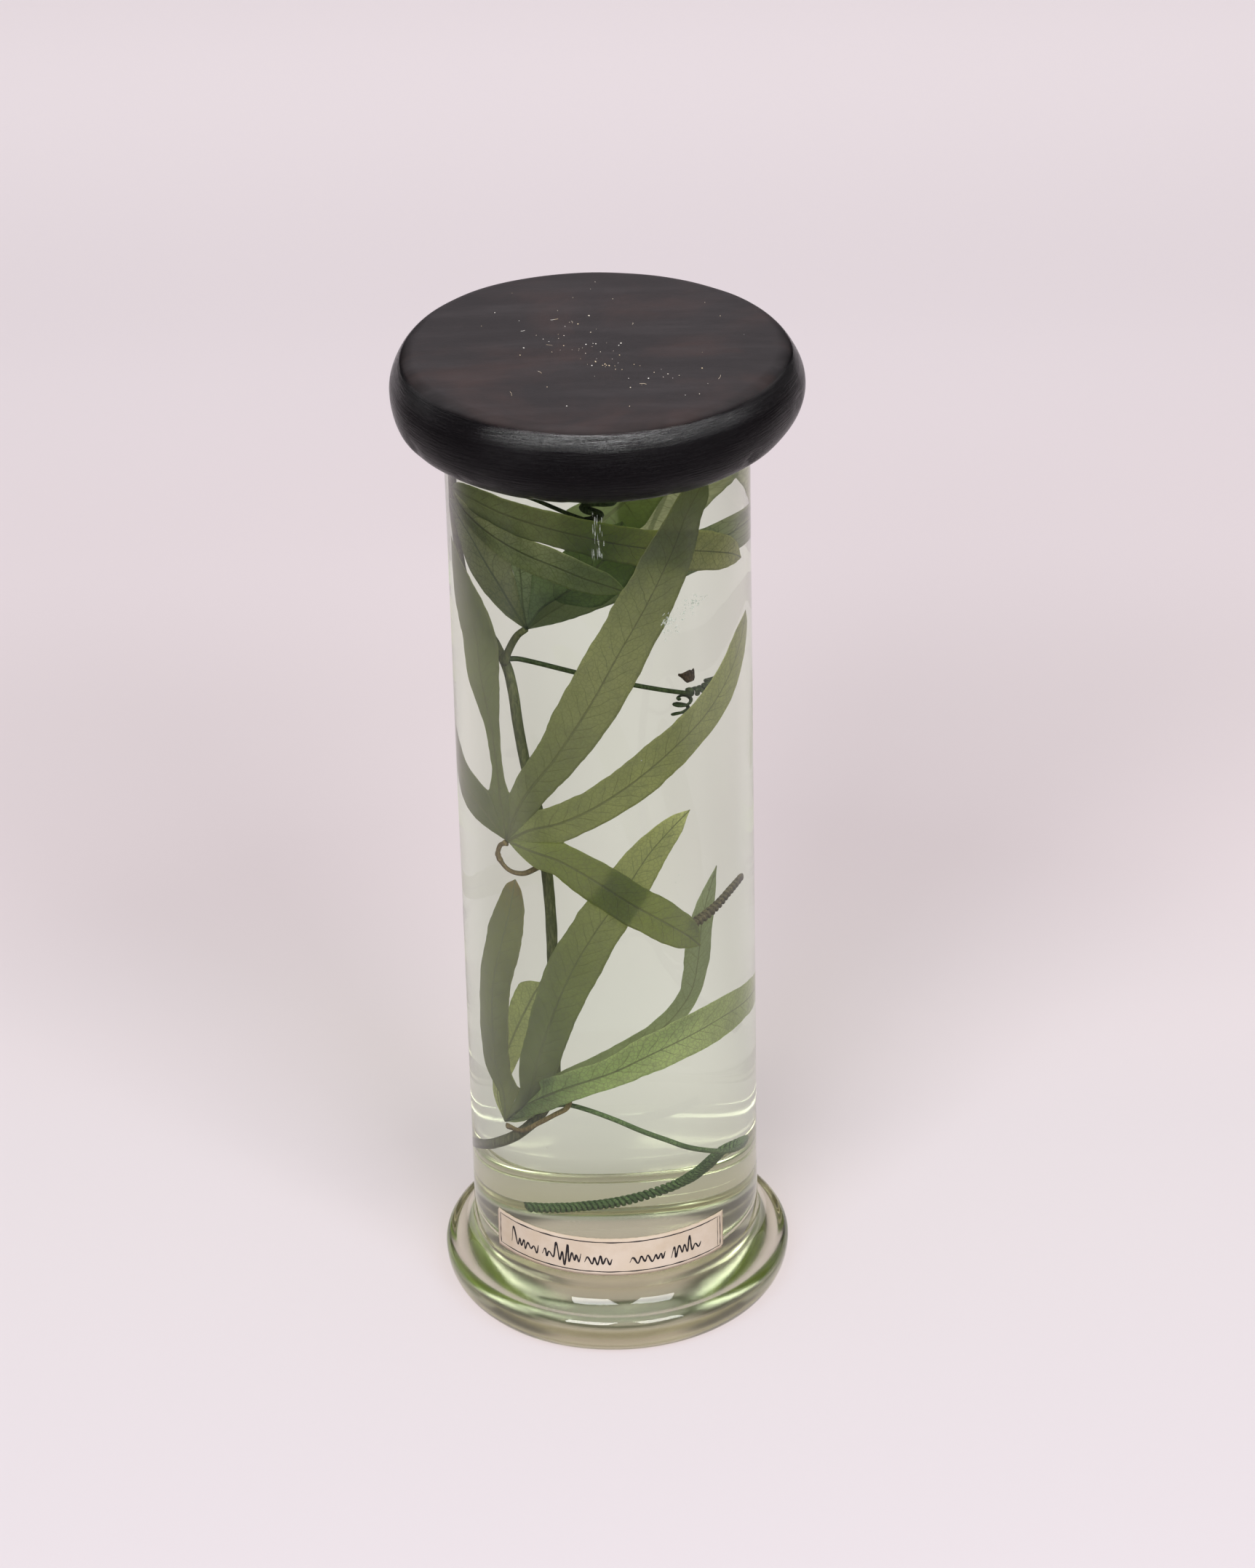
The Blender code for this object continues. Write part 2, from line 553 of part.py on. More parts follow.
def cap_profile(plate_top):
    """The cap's section, its lowest point at height 0: a bore from below, a rounded edge."""
    bore = PLATE_RADIUS + CLEARANCE + CAP_BORE_SLACK
    height = CAP_TOP - CAP_BOTTOM
    half = height / 2
    bore_top = plate_top + CLEARANCE
    profile = [(0.0, height), (CAP_RADIUS - CAP_EDGE_REACH, height - CAP_DOME)]
    for i in range(1, 12):
        angle = math.pi * (0.5 - i / 12)
        profile.append((CAP_RADIUS - CAP_EDGE_REACH + CAP_EDGE_REACH * math.cos(angle),
                        half + (half - CAP_DOME) * math.sin(angle)))
    profile += [(CAP_RADIUS - CAP_EDGE_REACH, 0.0), (bore, 0.0), (bore, bore_top),
                (0.0, bore_top)]
    return profile


def label_paper(group, paper):
    """A strip of paper bent round the glass."""
    radius = WALL_RADIUS + CLEARANCE + LABEL_THICKNESS / 2
    shape = bmesh.new()
    rails = []
    for height in (LABEL_BOTTOM, LABEL_TOP):
        rail = []
        for i in range(LABEL_COLUMNS + 1):
            azimuth = LABEL_FROM + (LABEL_TO - LABEL_FROM) * i / LABEL_COLUMNS
            rail.append(shape.verts.new(around(azimuth, height / MM, radius / MM)))
        rails.append(rail)
    for i in range(LABEL_COLUMNS):
        shape.faces.new((rails[0][i], rails[0][i + 1], rails[1][i + 1], rails[1][i]))
    mesh = bpy.data.meshes.new("label_paper")
    shape.to_mesh(mesh)
    shape.free()
    piece = add_object("label_paper", mesh, group, paper)
    shell = piece.modifiers.new("thickness", "SOLIDIFY")
    shell.thickness = LABEL_THICKNESS
    shell.offset = 0.0
    return piece


# ---------------------------------------------------------------- assembly

def build():
    empty_scene()
    parts = new_collection("specimen_jar")
    cutters = new_collection("cutters")

    glass = make_material("clear_glass", (0.90, 0.95, 0.90), 0.02, 1.0, 1.5)
    plate_glass = make_material("plate_glass", (0.82, 0.90, 0.85), 0.15, 1.0, 1.5)
    fluid = make_material("fluid", (0.85, 0.93, 0.85), 0.0, 1.0, 1.36)
    pitch = make_material("black_pitch", (0.012, 0.011, 0.012), 0.35)
    cement = make_material("pale_cement", (0.62, 0.56, 0.44), 0.8)
    paper = make_material("label_paper", (0.80, 0.68, 0.60), 0.85)
    leaf_green = make_material("leaf_green", (0.13, 0.20, 0.06), 0.6)
    stem_green = make_material("stem_green", (0.14, 0.15, 0.06), 0.6)
    petiole_brown = make_material("petiole_brown", (0.22, 0.17, 0.07), 0.6)
    tendril_green = make_material("tendril_green", (0.07, 0.11, 0.06), 0.6)
    bract_brown = make_material("bract_brown", (0.10, 0.06, 0.03), 0.7)

    stem_and_petioles(parts, stem_green, petiole_brown)
    for make_leaf in (upper_leaf, lower_leaf, crown_leaf, top_leaf, back_leaf):
        make_leaf(parts, leaf_green)
    tendrils(parts, tendril_green, bract_brown)
    plant_pieces = list(parts.objects)

    jar_body(parts, glass)
    preserving_fluid(parts, fluid, plant_pieces, cutters)
    closure(parts, pitch, cement, plate_glass)
    label_paper(parts, paper)


build()
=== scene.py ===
"""Looks of the specimen jar: glass, fluid, plant, pitch cap and label, on a pale studio floor.

Places inside the jar are azimuth in degrees (0 at the front, positive towards +X), height and
distance from the jar's axis in millimetres. The front of the jar faces -Y.
"""

import math
import random

import bmesh
import bpy
import numpy as np
from mathutils import Matrix, Vector, noise


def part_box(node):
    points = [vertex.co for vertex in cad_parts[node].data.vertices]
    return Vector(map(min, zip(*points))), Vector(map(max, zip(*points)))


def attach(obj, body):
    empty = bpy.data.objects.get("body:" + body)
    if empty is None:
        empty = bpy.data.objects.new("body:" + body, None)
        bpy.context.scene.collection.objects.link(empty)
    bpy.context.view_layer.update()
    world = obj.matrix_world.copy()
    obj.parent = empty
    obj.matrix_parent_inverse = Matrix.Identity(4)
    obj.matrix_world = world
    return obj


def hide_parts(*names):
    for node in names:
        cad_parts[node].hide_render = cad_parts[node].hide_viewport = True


MM = 0.001
GLASS_IOR = 1.5
FLUID_IOR = 1.36
WET_IOR = GLASS_IOR / FLUID_IOR     # from the fluid into the glass
TURN_STEPS = 160
SKIN = 0.04                         # mm between the fluid's side and the glass

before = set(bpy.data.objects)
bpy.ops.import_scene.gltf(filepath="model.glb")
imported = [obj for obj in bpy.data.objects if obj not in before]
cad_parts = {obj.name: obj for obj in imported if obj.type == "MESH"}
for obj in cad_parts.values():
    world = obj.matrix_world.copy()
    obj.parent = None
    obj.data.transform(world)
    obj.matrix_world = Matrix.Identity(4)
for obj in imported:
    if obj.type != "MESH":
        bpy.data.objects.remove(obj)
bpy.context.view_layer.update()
random.seed(7)


def top_of(node):
    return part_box(node)[1].z / MM


def bottom_of(node):
    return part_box(node)[0].z / MM


def reach_of(node):
    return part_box(node)[1].x / MM


WALL = 32.5
BORE = 30.3
RIM = top_of("jar_body")
FOOT = reach_of("jar_body")
FLOOR = bottom_of("preserving_fluid") - 0.3
LEVEL = top_of("preserving_fluid")
CAP_LOW = bottom_of("seal_cap")
CAP_HIGH = top_of("seal_cap")
CAP_REACH = reach_of("seal_cap")
PLATE_LOW = bottom_of("cover_plate")
PLATE_HIGH = top_of("cover_plate")
PLATE_REACH = reach_of("cover_plate")


# ---------------------------------------------------------------- node helpers

class Nodes:
    """Short calls for building one material's node tree."""

    def __init__(self, name):
        self.material = bpy.data.materials.new(name)
        self.material.use_nodes = True
        self.tree = self.material.node_tree
        self.tree.nodes.clear()
        self.out = self.tree.nodes.new("ShaderNodeOutputMaterial")

    def add(self, kind, **inputs):
        node = self.tree.nodes.new("ShaderNode" + kind)
        for name, value in inputs.items():
            self.put(node, name.replace("_", " "), value)
        return node

    def put(self, node, name, value):
        socket = node.inputs[int(name)] if name.isdigit() else node.inputs[name]
        if isinstance(value, bpy.types.NodeSocket):
            self.tree.links.new(value, socket)
        elif isinstance(value, tuple) and len(value) == 3 and socket.type == "RGBA":
            socket.default_value = (*value, 1.0)
        else:
            socket.default_value = value

    def maths(self, operation, a, b=0.0, c=0.0, clamp=False):
        node = self.tree.nodes.new("ShaderNodeMath")
        node.operation = operation
        node.use_clamp = clamp
        for i, value in enumerate((a, b, c)):
            self.put(node, str(i), value)
        return node.outputs[0]

    def ramp(self, value, low, high, to_low=0.0, to_high=1.0, smooth=True):
        node = self.tree.nodes.new("ShaderNodeMapRange")
        node.interpolation_type = "SMOOTHSTEP" if smooth else "LINEAR"
        for i, v in enumerate((value, low, high, to_low, to_high)):
            self.put(node, str(i), v)
        return node.outputs[0]

    def mix(self, factor, a, b, blend="MIX"):
        node = self.tree.nodes.new("ShaderNodeMix")
        node.data_type = "RGBA"
        node.blend_type = blend
        self.put(node, "0", factor)
        self.put(node, "6", a)
        self.put(node, "7", b)
        return node.outputs[2]

    def noise(self, scale, detail=3.0, roughness=0.5, vector=None, distortion=0.0):
        node = self.add("TexNoise", Scale=scale, Detail=detail, Roughness=roughness,
                        Distortion=distortion)
        self.put(node, "Vector", vector or self.place())
        return node.outputs["Fac"]

    def place(self, scale=None):
        """Object coordinates, stretched by scale if given."""
        spot = self.add("TexCoord").outputs["Object"]
        if scale is None:
            return spot
        node = self.add("Mapping", Scale=scale)
        self.put(node, "Vector", spot)
        return node.outputs[0]

    def axis(self, vector=None):
        node = self.add("SeparateXYZ")
        self.put(node, "0", vector or self.place())
        return node.outputs

    def attribute(self, name):
        node = self.add("Attribute")
        node.attribute_name = name
        return node

    def shaders(self, factor, a, b):
        node = self.add("MixShader")
        self.put(node, "0", factor)
        self.put(node, "1", a)
        self.put(node, "2", b)
        return node.outputs[0]

    def bump(self, height, strength, distance):
        node = self.add("Bump", Strength=strength, Distance=distance)
        self.put(node, "Height", height)
        return node.outputs[0]

    def finish(self, surface, volume=None):
        self.tree.links.new(surface, self.out.inputs["Surface"])
        if volume is not None:
            self.tree.links.new(volume, self.out.inputs["Volume"])
        return self.material


def lamp_rays(n):
    """1 for rays that only carry light: shadow rays and diffuse bounces."""
    path = n.add("LightPath")
    return n.maths("MAXIMUM", path.outputs["Is Shadow Ray"], path.outputs["Is Diffuse Ray"])


# ---------------------------------------------------------------- materials

def glass_material():
    """Slightly green jar glass. Its inner face is wet below the fluid's level."""
    n = Nodes("jar_glass")
    x, y, z = n.axis()
    radius = n.maths("SQRT", n.maths("ADD", n.maths("MULTIPLY", x, x), n.maths("MULTIPLY", y, y)))
    inner = n.maths("LESS_THAN", radius, (WALL + BORE) / 2 * MM)
    below = n.maths("LESS_THAN", z, LEVEL * MM)
    above_base = n.maths("GREATER_THAN", z, FLOOR / 2 * MM)
    wet = n.maths("MULTIPLY", n.maths("MULTIPLY", inner, below), above_base)
    ior = n.maths("MULTIPLY_ADD", wet, WET_IOR - GLASS_IOR, GLASS_IOR)
    glass = n.add("BsdfGlass", Color=(1.0, 1.0, 1.0))
    n.put(glass, "IOR", ior)
    n.put(glass, "Roughness", n.ramp(z, 0.3 * MM, 1.2 * MM, 0.14, 0.0))
    wave = n.noise(55.0, 2.0, vector=n.place((1.0, 1.0, 0.35)))
    n.put(glass, "Normal", n.bump(wave, 0.12, 0.0006))
    clear = n.add("BsdfTransparent", Color=(0.978, 0.955, 0.955))
    surface = n.shaders(lamp_rays(n), glass.outputs[0], clear.outputs[0])
    volume = n.add("VolumeAbsorption", Color=(0.795, 0.775, 0.54), Density=24.0)
    return n.finish(surface, volume.outputs[0])


def fluid_material():
    """Pale green fluid: it bends light only at its top, because its sides touch the glass."""
    n = Nodes("spirit")
    x, y, z = n.axis()
    top = n.maths("GREATER_THAN", z, (LEVEL - 0.1) * MM)
    glass = n.add("BsdfGlass", Color=(1.0, 1.0, 1.0), Roughness=0.0, IOR=FLUID_IOR)
    clear = n.add("BsdfTransparent", Color=(1.0, 1.0, 1.0))
    factor = n.maths("MULTIPLY", top, n.maths("SUBTRACT", 1.0, lamp_rays(n)))
    surface = n.shaders(factor, clear.outputs[0], glass.outputs[0])
    volume = n.add("VolumeAbsorption", Color=(0.22, 0.86, 0.05), Density=2.6)
    return n.finish(surface, volume.outputs[0])


def leaf_material(name, through, vein, front, see=0.03, net=0.30, blotch=0.30):
    """A cleared leaf: light from behind spreads through it, darker at midribs and side veins.

    Only the face met from outside scatters, so that a thin closed blade acts as one layer.
    front is what its lit face sends back: partly the leaf's dull surface, partly painted haze for the
    glass's reflection.

    The point attribute "vein" holds mm across from the midrib, mm along it and the half width.
    """
    n = Nodes(name)
    across, down, half = n.axis(n.attribute("vein").outputs["Vector"])
    # The lobes' tones: partly the leaf's own colour and partly painted light and shade.
    tint_and_painted_light = n.attribute("tint_and_painted_light").outputs["Color"]
    drift = n.noise(160.0, 2.0)
    rib_width = n.ramp(n.maths("SUBTRACT", down, 0.0), 0.0, 60.0, 0.42, 0.20, smooth=False)
    rib = n.ramp(across, n.maths("MULTIPLY", rib_width, 0.45), rib_width, 1.0, 0.0)
    slope = n.maths("MULTIPLY", across, 1.15)
    phase = n.maths("DIVIDE", n.maths("ADD", n.maths("SUBTRACT", down, slope),
                                      n.maths("MULTIPLY", drift, 4.0)), 3.3)
    off = n.maths("ABSOLUTE", n.maths("SUBTRACT", n.maths("FRACT", phase), 0.5))
    side = n.ramp(off, 0.012, 0.055, 1.0, 0.0)
    fade = n.ramp(n.maths("DIVIDE", across, n.maths("MAXIMUM", half, 0.2)), 0.35, 1.0, 1.0, 0.1)
    side = n.maths("MULTIPLY", side, fade)
    cells = n.add("TexVoronoi", Scale=950.0)
    cells.feature = "DISTANCE_TO_EDGE"
    n.put(cells, "Vector", n.place())
    mesh = n.ramp(cells.outputs["Distance"], 0.02, 0.12, 1.0, 0.0)
    mottle = n.noise(260.0, 4.0, 0.6)
    cloud = n.noise(70.0, 3.0, 0.55)
    pale = n.mix(n.ramp(cloud, 0.35, 0.7), through, tuple(min(c * 1.22, 1.0) for c in through))
    tone = n.mix(1.0, pale, tint_and_painted_light, "MULTIPLY")
    tone = n.mix(n.maths("MULTIPLY", n.ramp(mottle, 0.45, 0.75), blotch), tone, vein)
    tone = n.mix(n.maths("MULTIPLY", mesh, net), tone, vein)
    tone = n.mix(n.maths("MULTIPLY", side, 0.55), tone, vein)
    tone = n.mix(n.maths("MULTIPLY", rib, 0.8), tone, vein)
    height = n.maths("ADD", n.maths("MULTIPLY", rib, -1.0), n.maths("MULTIPLY", side, -0.5))
    normal = n.bump(height, 0.6, 0.0002)
    glow = n.add("BsdfTranslucent")
    n.put(glow, "Color", tone)
    n.put(glow, "Normal", normal)
    # The lit face's colour is partly the leaf's dull surface and partly painted haze standing for the
    # glass's reflection.
    sheen_and_painted_haze = n.add("BsdfDiffuse", Roughness=0.6)
    n.put(sheen_and_painted_haze, "Color", n.mix(n.ramp(mottle, 0.3, 0.7), tuple(c * 0.8 for c in front), front))
    n.put(sheen_and_painted_haze, "Normal", normal)
    both = n.add("AddShader")
    n.put(both, "0", glow.outputs[0])
    n.put(both, "1", sheen_and_painted_haze.outputs[0])
    clear = n.add("BsdfTransparent", Color=(1.0, 1.0, 1.0))
    hint = n.add("BsdfTransparent", Color=(0.55, 0.62, 0.30))
    blade = n.shaders(see, both.outputs[0], hint.outputs[0])
    behind = n.add("NewGeometry").outputs["Backfacing"]
    return n.finish(n.shaders(behind, blade, clear.outputs[0]))


def stem_material(name, light, dark, rough=0.6, scale=(1.0, 1.0, 0.18), clear=0.1):
    """Fibrous plant stem: long streaks, darker specks, a little light gets through."""
    n = Nodes(name)
    streak = n.noise(2600.0, 3.0, 0.6, vector=n.place(scale))
    cloud = n.noise(190.0, 3.0)
    speck = n.noise(1500.0, 2.0)
    tone = n.mix(n.ramp(streak, 0.35, 0.7), dark, light)
    tone = n.mix(n.maths("MULTIPLY", n.ramp(cloud, 0.45, 0.7), 0.6), tone, dark)
    tone = n.mix(n.maths("MULTIPLY", n.ramp(speck, 0.62, 0.72), 0.5), tone,
                 tuple(c * 0.4 for c in dark))
    solid = n.add("BsdfPrincipled", Roughness=rough, Specular_IOR_Level=0.1)
    n.put(solid, "Base Color", tone)
    n.put(solid, "Normal", n.bump(streak, 0.5, 0.0002))
    see = n.add("BsdfTransparent")
    n.put(see, "Color", n.mix(0.5, tone, (0.30, 0.36, 0.16)))
    return n.finish(n.shaders(clear, solid.outputs[0], see.outputs[0]))


def pitch_material():
    """Black pitch: satin, brushed round the side, rubbed brown and dusty on top; the top is also
    painted a lighter grey, a painted reflection of the pale room.
    """
    n = Nodes("pitch")
    normal = n.axis(n.add("NewGeometry").outputs["Normal"])[2]
    top = n.ramp(normal, 0.62, 0.985)
    x, y, z = n.axis()
    turn = n.maths("ARCTAN2", y, x)
    ring = n.add("CombineXYZ")
    n.put(ring, "X", n.maths("MULTIPLY", turn, 0.35))
    n.put(ring, "Z", n.maths("MULTIPLY", z, 140.0))
    brushed = n.noise(16.0, 6.0, 0.7, vector=ring.outputs[0])
    wiped = n.noise(120.0, 6.0, 0.65, vector=n.place((0.25, 1.6, 1.0)))
    lump = n.noise(38.0, 3.0, 0.5)
    grain = n.noise(1400.0, 3.0, 0.6)
    brown = n.ramp(n.noise(34.0, 4.0, 0.6, distortion=0.4), 0.44, 0.70)
    base = n.mix(n.maths("MULTIPLY", n.maths("MULTIPLY", brown, top), 0.75),
                 (0.0050, 0.0044, 0.0050), (0.046, 0.020, 0.015))
    # Dust on top, plus an even lighter grey over the whole top: painted reflection of the pale room.
    dust_and_painted_light = n.maths("MULTIPLY", n.ramp(wiped, 0.35, 0.85), top)
    base = n.mix(n.maths("MULTIPLY_ADD", dust_and_painted_light, 0.42, n.maths("MULTIPLY", top, 0.20)), base,
                 (0.072, 0.062, 0.066))
    wear = n.maths("MULTIPLY", n.ramp(brushed, 0.60, 0.80), n.maths("SUBTRACT", 1.0, top))
    base = n.mix(n.maths("MULTIPLY", wear, 0.08), base, (0.05, 0.045, 0.05))
    shade = n.add("BsdfPrincipled", IOR=1.45)
    n.put(shade, "Base Color", base)
    rough_top = n.maths("MULTIPLY_ADD", wiped, 0.20, 0.42)
    rough_side = n.maths("MULTIPLY_ADD", brushed, 0.22, 0.02)
    n.put(shade, "Roughness", n.maths("ADD", n.maths("MULTIPLY", rough_top, top),
                                      n.maths("MULTIPLY", rough_side,
                                              n.maths("SUBTRACT", 1.0, top))))
    beside = n.ramp(normal, 0.55, 0.86, 1.0, 0.0)
    brush_depth = n.maths("MULTIPLY", brushed, beside)
    height = n.maths("ADD", brush_depth, n.maths("MULTIPLY", lump, 0.6))
    height = n.maths("ADD", height, n.maths("MULTIPLY", n.maths("MULTIPLY", wiped, top), 0.12))
    height = n.maths("ADD", height, n.maths("MULTIPLY", grain, 0.06))
    n.put(shade, "Normal", n.bump(height, 0.6, 0.0005))
    streaks = n.maths("MULTIPLY", n.ramp(brushed, 0.36, 0.62, 0.50, 1.0),
                      n.ramp(lump, 0.30, 0.60, 0.6, 1.0))
    shine = n.maths("MULTIPLY", n.ramp(normal, 0.28, 0.52, 0.13, 1.75), streaks)
    n.put(shade, "Specular IOR Level", n.maths("MULTIPLY_ADD", beside, n.maths(
        "SUBTRACT", shine, 0.75), 0.75))
    return n.finish(shade.outputs[0])


def paper_material():
    """Old rag paper: pinkish cream, fibres, foxing, darker edges."""
    n = Nodes("label_rag_paper")
    spot = n.attribute("sheet").outputs["Vector"]
    along, up, edge = n.axis(spot)
    cloud = n.noise(130.0, 4.0, 0.6)
    fibre = n.noise(1800.0, 3.0, 0.7, vector=n.place((1.0, 1.0, 2.6)))
    stain = n.ramp(n.noise(75.0, 3.0, 0.5), 0.52, 0.75)
    base = n.mix(n.ramp(cloud, 0.3, 0.7), (0.68, 0.58, 0.48), (0.60, 0.49, 0.38))
    base = n.mix(n.maths("MULTIPLY", fibre, 0.25), base, (0.80, 0.70, 0.60))
    base = n.mix(n.maths("MULTIPLY", stain, 0.30), base, (0.52, 0.40, 0.24))
    base = n.mix(n.ramp(edge, 0.0, 0.7, 0.45, 0.0), base, (0.42, 0.33, 0.22))
    shade = n.add("BsdfPrincipled", Roughness=0.85, Specular_IOR_Level=0.2)
    n.put(shade, "Base Color", base)
    n.put(shade, "Normal", n.bump(fibre, 0.35, 0.00008))
    return n.finish(shade.outputs[0])


def ink_material():
    n = Nodes("iron_gall_ink")
    worn = n.noise(1500.0, 3.0, 0.6)
    base = n.mix(n.ramp(worn, 0.45, 0.8), (0.016, 0.014, 0.018), (0.075, 0.06, 0.055))
    shade = n.add("BsdfPrincipled", Roughness=0.7, Specular_IOR_Level=0.2)
    n.put(shade, "Base Color", base)
    return n.finish(shade.outputs[0])


def cement_material():
    n = Nodes("rim_cement")
    lump = n.noise(420.0, 5.0, 0.65)
    base = n.mix(n.ramp(lump, 0.35, 0.7), (0.40, 0.34, 0.24), (0.66, 0.60, 0.48))
    shade = n.add("BsdfPrincipled", Roughness=0.85)
    n.put(shade, "Base Color", base)
    n.put(shade, "Normal", n.bump(lump, 0.8, 0.0003))
    return n.finish(shade.outputs[0])


def plate_material():
    """Old plate glass: pale green, its edge and rim zone ground matt."""
    n = Nodes("plate_glass_ground")
    x, y, z = n.axis()
    radius = n.maths("SQRT", n.maths("ADD", n.maths("MULTIPLY", x, x), n.maths("MULTIPLY", y, y)))
    ground = n.ramp(radius, 29.6 * MM, 30.4 * MM)
    grit = n.noise(2600.0, 3.0, 0.6)
    glass = n.add("BsdfGlass", Color=(0.93, 0.975, 0.94), IOR=GLASS_IOR)
    n.put(glass, "Roughness", n.maths("MULTIPLY", ground, n.maths("MULTIPLY_ADD", grit, 0.3, 0.3)))
    clear = n.add("BsdfTransparent", Color=(0.90, 0.95, 0.91))
    return n.finish(n.shaders(lamp_rays(n), glass.outputs[0], clear.outputs[0]))


def dust_material():
    n = Nodes("pale_dust")
    hue = n.noise(300.0, 1.0)
    base = n.mix(n.ramp(hue, 0.35, 0.65), (0.80, 0.78, 0.74), (0.62, 0.50, 0.34))
    shade = n.add("BsdfPrincipled", Roughness=0.9)
    n.put(shade, "Base Color", base)
    return n.finish(shade.outputs[0])


def residue_material():
    """Dried film on the glass: greyish, flaky, half clear."""
    n = Nodes("dried_film")
    flake = n.noise(3200.0, 4.0, 0.7)
    shade = n.add("BsdfDiffuse", Color=(0.60, 0.64, 0.58))
    clear = n.add("BsdfTransparent", Color=(0.72, 0.76, 0.72))
    return n.finish(n.shaders(n.ramp(flake, 0.40, 0.60, 0.85, 0.35), shade.outputs[0],
                              clear.outputs[0]))


# ---------------------------------------------------------------- mesh helpers

def around(azimuth, height, radius):
    angle = math.radians(azimuth)
    return Vector((radius * math.sin(angle), -radius * math.cos(angle), height)) * MM


def make_piece(name, verts, faces, material, body, replaced, slot, attributes=None):
    mesh = bpy.data.meshes.new(name)
    mesh.from_pydata([tuple(v) for v in verts], [], faces)
    mesh.validate()
    for key, (kind, values) in (attributes or {}).items():
        layer = mesh.attributes.new(key, kind, "POINT")
        field = "color" if kind == "FLOAT_COLOR" else "vector"
        layer.data.foreach_set(field, np.asarray(values, np.float32).ravel())
    mesh.shade_smooth()
    mesh.materials.append(material)
    piece = bpy.data.objects.new(name, mesh)
    bpy.context.scene.collection.objects.link(piece)
    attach(piece, body)
    if replaced:
        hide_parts(*replaced)
    return piece


def arc(centre_radius, centre_height, reach, start, end, steps, rise=None):
    """Profile points along an arc, or along an ellipse when rise is given."""
    rise = reach if rise is None else rise
    points = []
    for i in range(steps + 1):
        angle = math.radians(start + (end - start) * i / steps)
        points.append((centre_radius + reach * math.cos(angle),
                       centre_height + rise * math.sin(angle)))
    return points


def lathe(profile, closed=False, steps=TURN_STEPS, shift=None):
    """Vertices and faces of a turned profile in mm. shift(azimuth, r, z) moves a point."""
    verts, faces, rings = [], [], []
    for radius, height in profile:
        if radius < 1e-6:
            rings.append([len(verts)] * steps)
            verts.append(around(0.0, height, 0.0))
            continue
        ring = []
        for j in range(steps):
            azimuth = 360.0 * j / steps
            r, z = shift(azimuth, radius, height) if shift else (radius, height)
            ring.append(len(verts))
            verts.append(around(azimuth, z, r))
        rings.append(ring)
    pairs = list(zip(rings, rings[1:]))
    if closed:
        pairs.append((rings[-1], rings[0]))
    for first, second in pairs:
        for j in range(steps):
            k = (j + 1) % steps
            face = []
            for index in (first[j], second[j], second[k], first[k]):
                if index not in face:
                    face.append(index)
            if len(face) > 2:
                faces.append(tuple(face))
    return verts, faces


def refined(profile, longest):
    """The same profile with no step longer than the given length."""
    points = [profile[0]]
    for a, b in zip(profile, profile[1:]):
        steps = max(1, math.ceil(math.dist(a, b) / longest))
        for i in range(1, steps + 1):
            points.append((a[0] + (b[0] - a[0]) * i / steps, a[1] + (b[1] - a[1]) * i / steps))
    return points


def catmull(points, fraction):
    """The place at a fraction of the way along a smooth curve through all points."""
    spans = len(points) - 1
    place = min(max(fraction, 0.0), 1.0) * spans
    i = min(int(place), spans - 1)
    t = place - i
    b, c = points[i], points[i + 1]
    a = points[i - 1] if i > 0 else b * 2 - c
    d = points[i + 2] if i + 2 <= spans else c * 2 - b
    return (b * 2 + (c - a) * t + (a * 2 - b * 5 + c * 4 - d) * (t * t)
            + (b * 3 - a - c * 3 + d) * (t * t * t)) * 0.5


def swept(path, radii, sides, flute=0.0):
    """Vertices and faces of a tube along path. flute is the depth of its lengthwise ridges."""
    verts, faces = [], []
    count = len(path)
    reference = None
    for i, point in enumerate(path):
        ahead = path[min(i + 1, count - 1)] - path[max(i - 1, 0)]
        ahead.normalize()
        if reference is None:
            reference = ahead.orthogonal().normalized()
        reference = (reference - ahead * reference.dot(ahead)).normalized()
        other = ahead.cross(reference)
        for j in range(sides):
            angle = 2 * math.pi * j / sides
            reach = radii[i] * (1.0 - flute * (0.5 + 0.5 * math.cos(5 * angle)))
            verts.append(point + (reference * math.cos(angle) + other * math.sin(angle)) * reach)
    for i in range(count - 1):
        for j in range(sides):
            k = (j + 1) % sides
            a, b = i * sides, (i + 1) * sides
            faces.append((a + j, a + k, b + k, b + j))
    first, last = len(verts), len(verts) + 1
    verts += [path[0].copy(), path[-1].copy()]
    end = (count - 1) * sides
    for j in range(sides):
        k = (j + 1) % sides
        faces.append((first, k, j))
        faces.append((last, end + j, end + k))
    return verts, faces


def joined(parts):
    """One list of vertices and faces from several."""
    verts, faces = [], []
    for more_verts, more_faces in parts:
        base = len(verts)
        verts += more_verts
        faces += [tuple(i + base for i in face) for face in more_faces]
    return verts, faces


def smooth_path(stations, samples):
    return [catmull(stations, i / samples) for i in range(samples + 1)]


# ---------------------------------------------------------------- leaves

WEB_ROWS = 12
EDGE_SIDE = 7                       # columns from the midrib to an edge
LEAF_THICKNESS = 0.28 * MM


def web_fraction(stations, reach):
    steps = 300
    for i in range(steps + 1):
        if (catmull(stations, i / steps) - stations[0]).length >= reach:
            return i / steps
    return 1.0


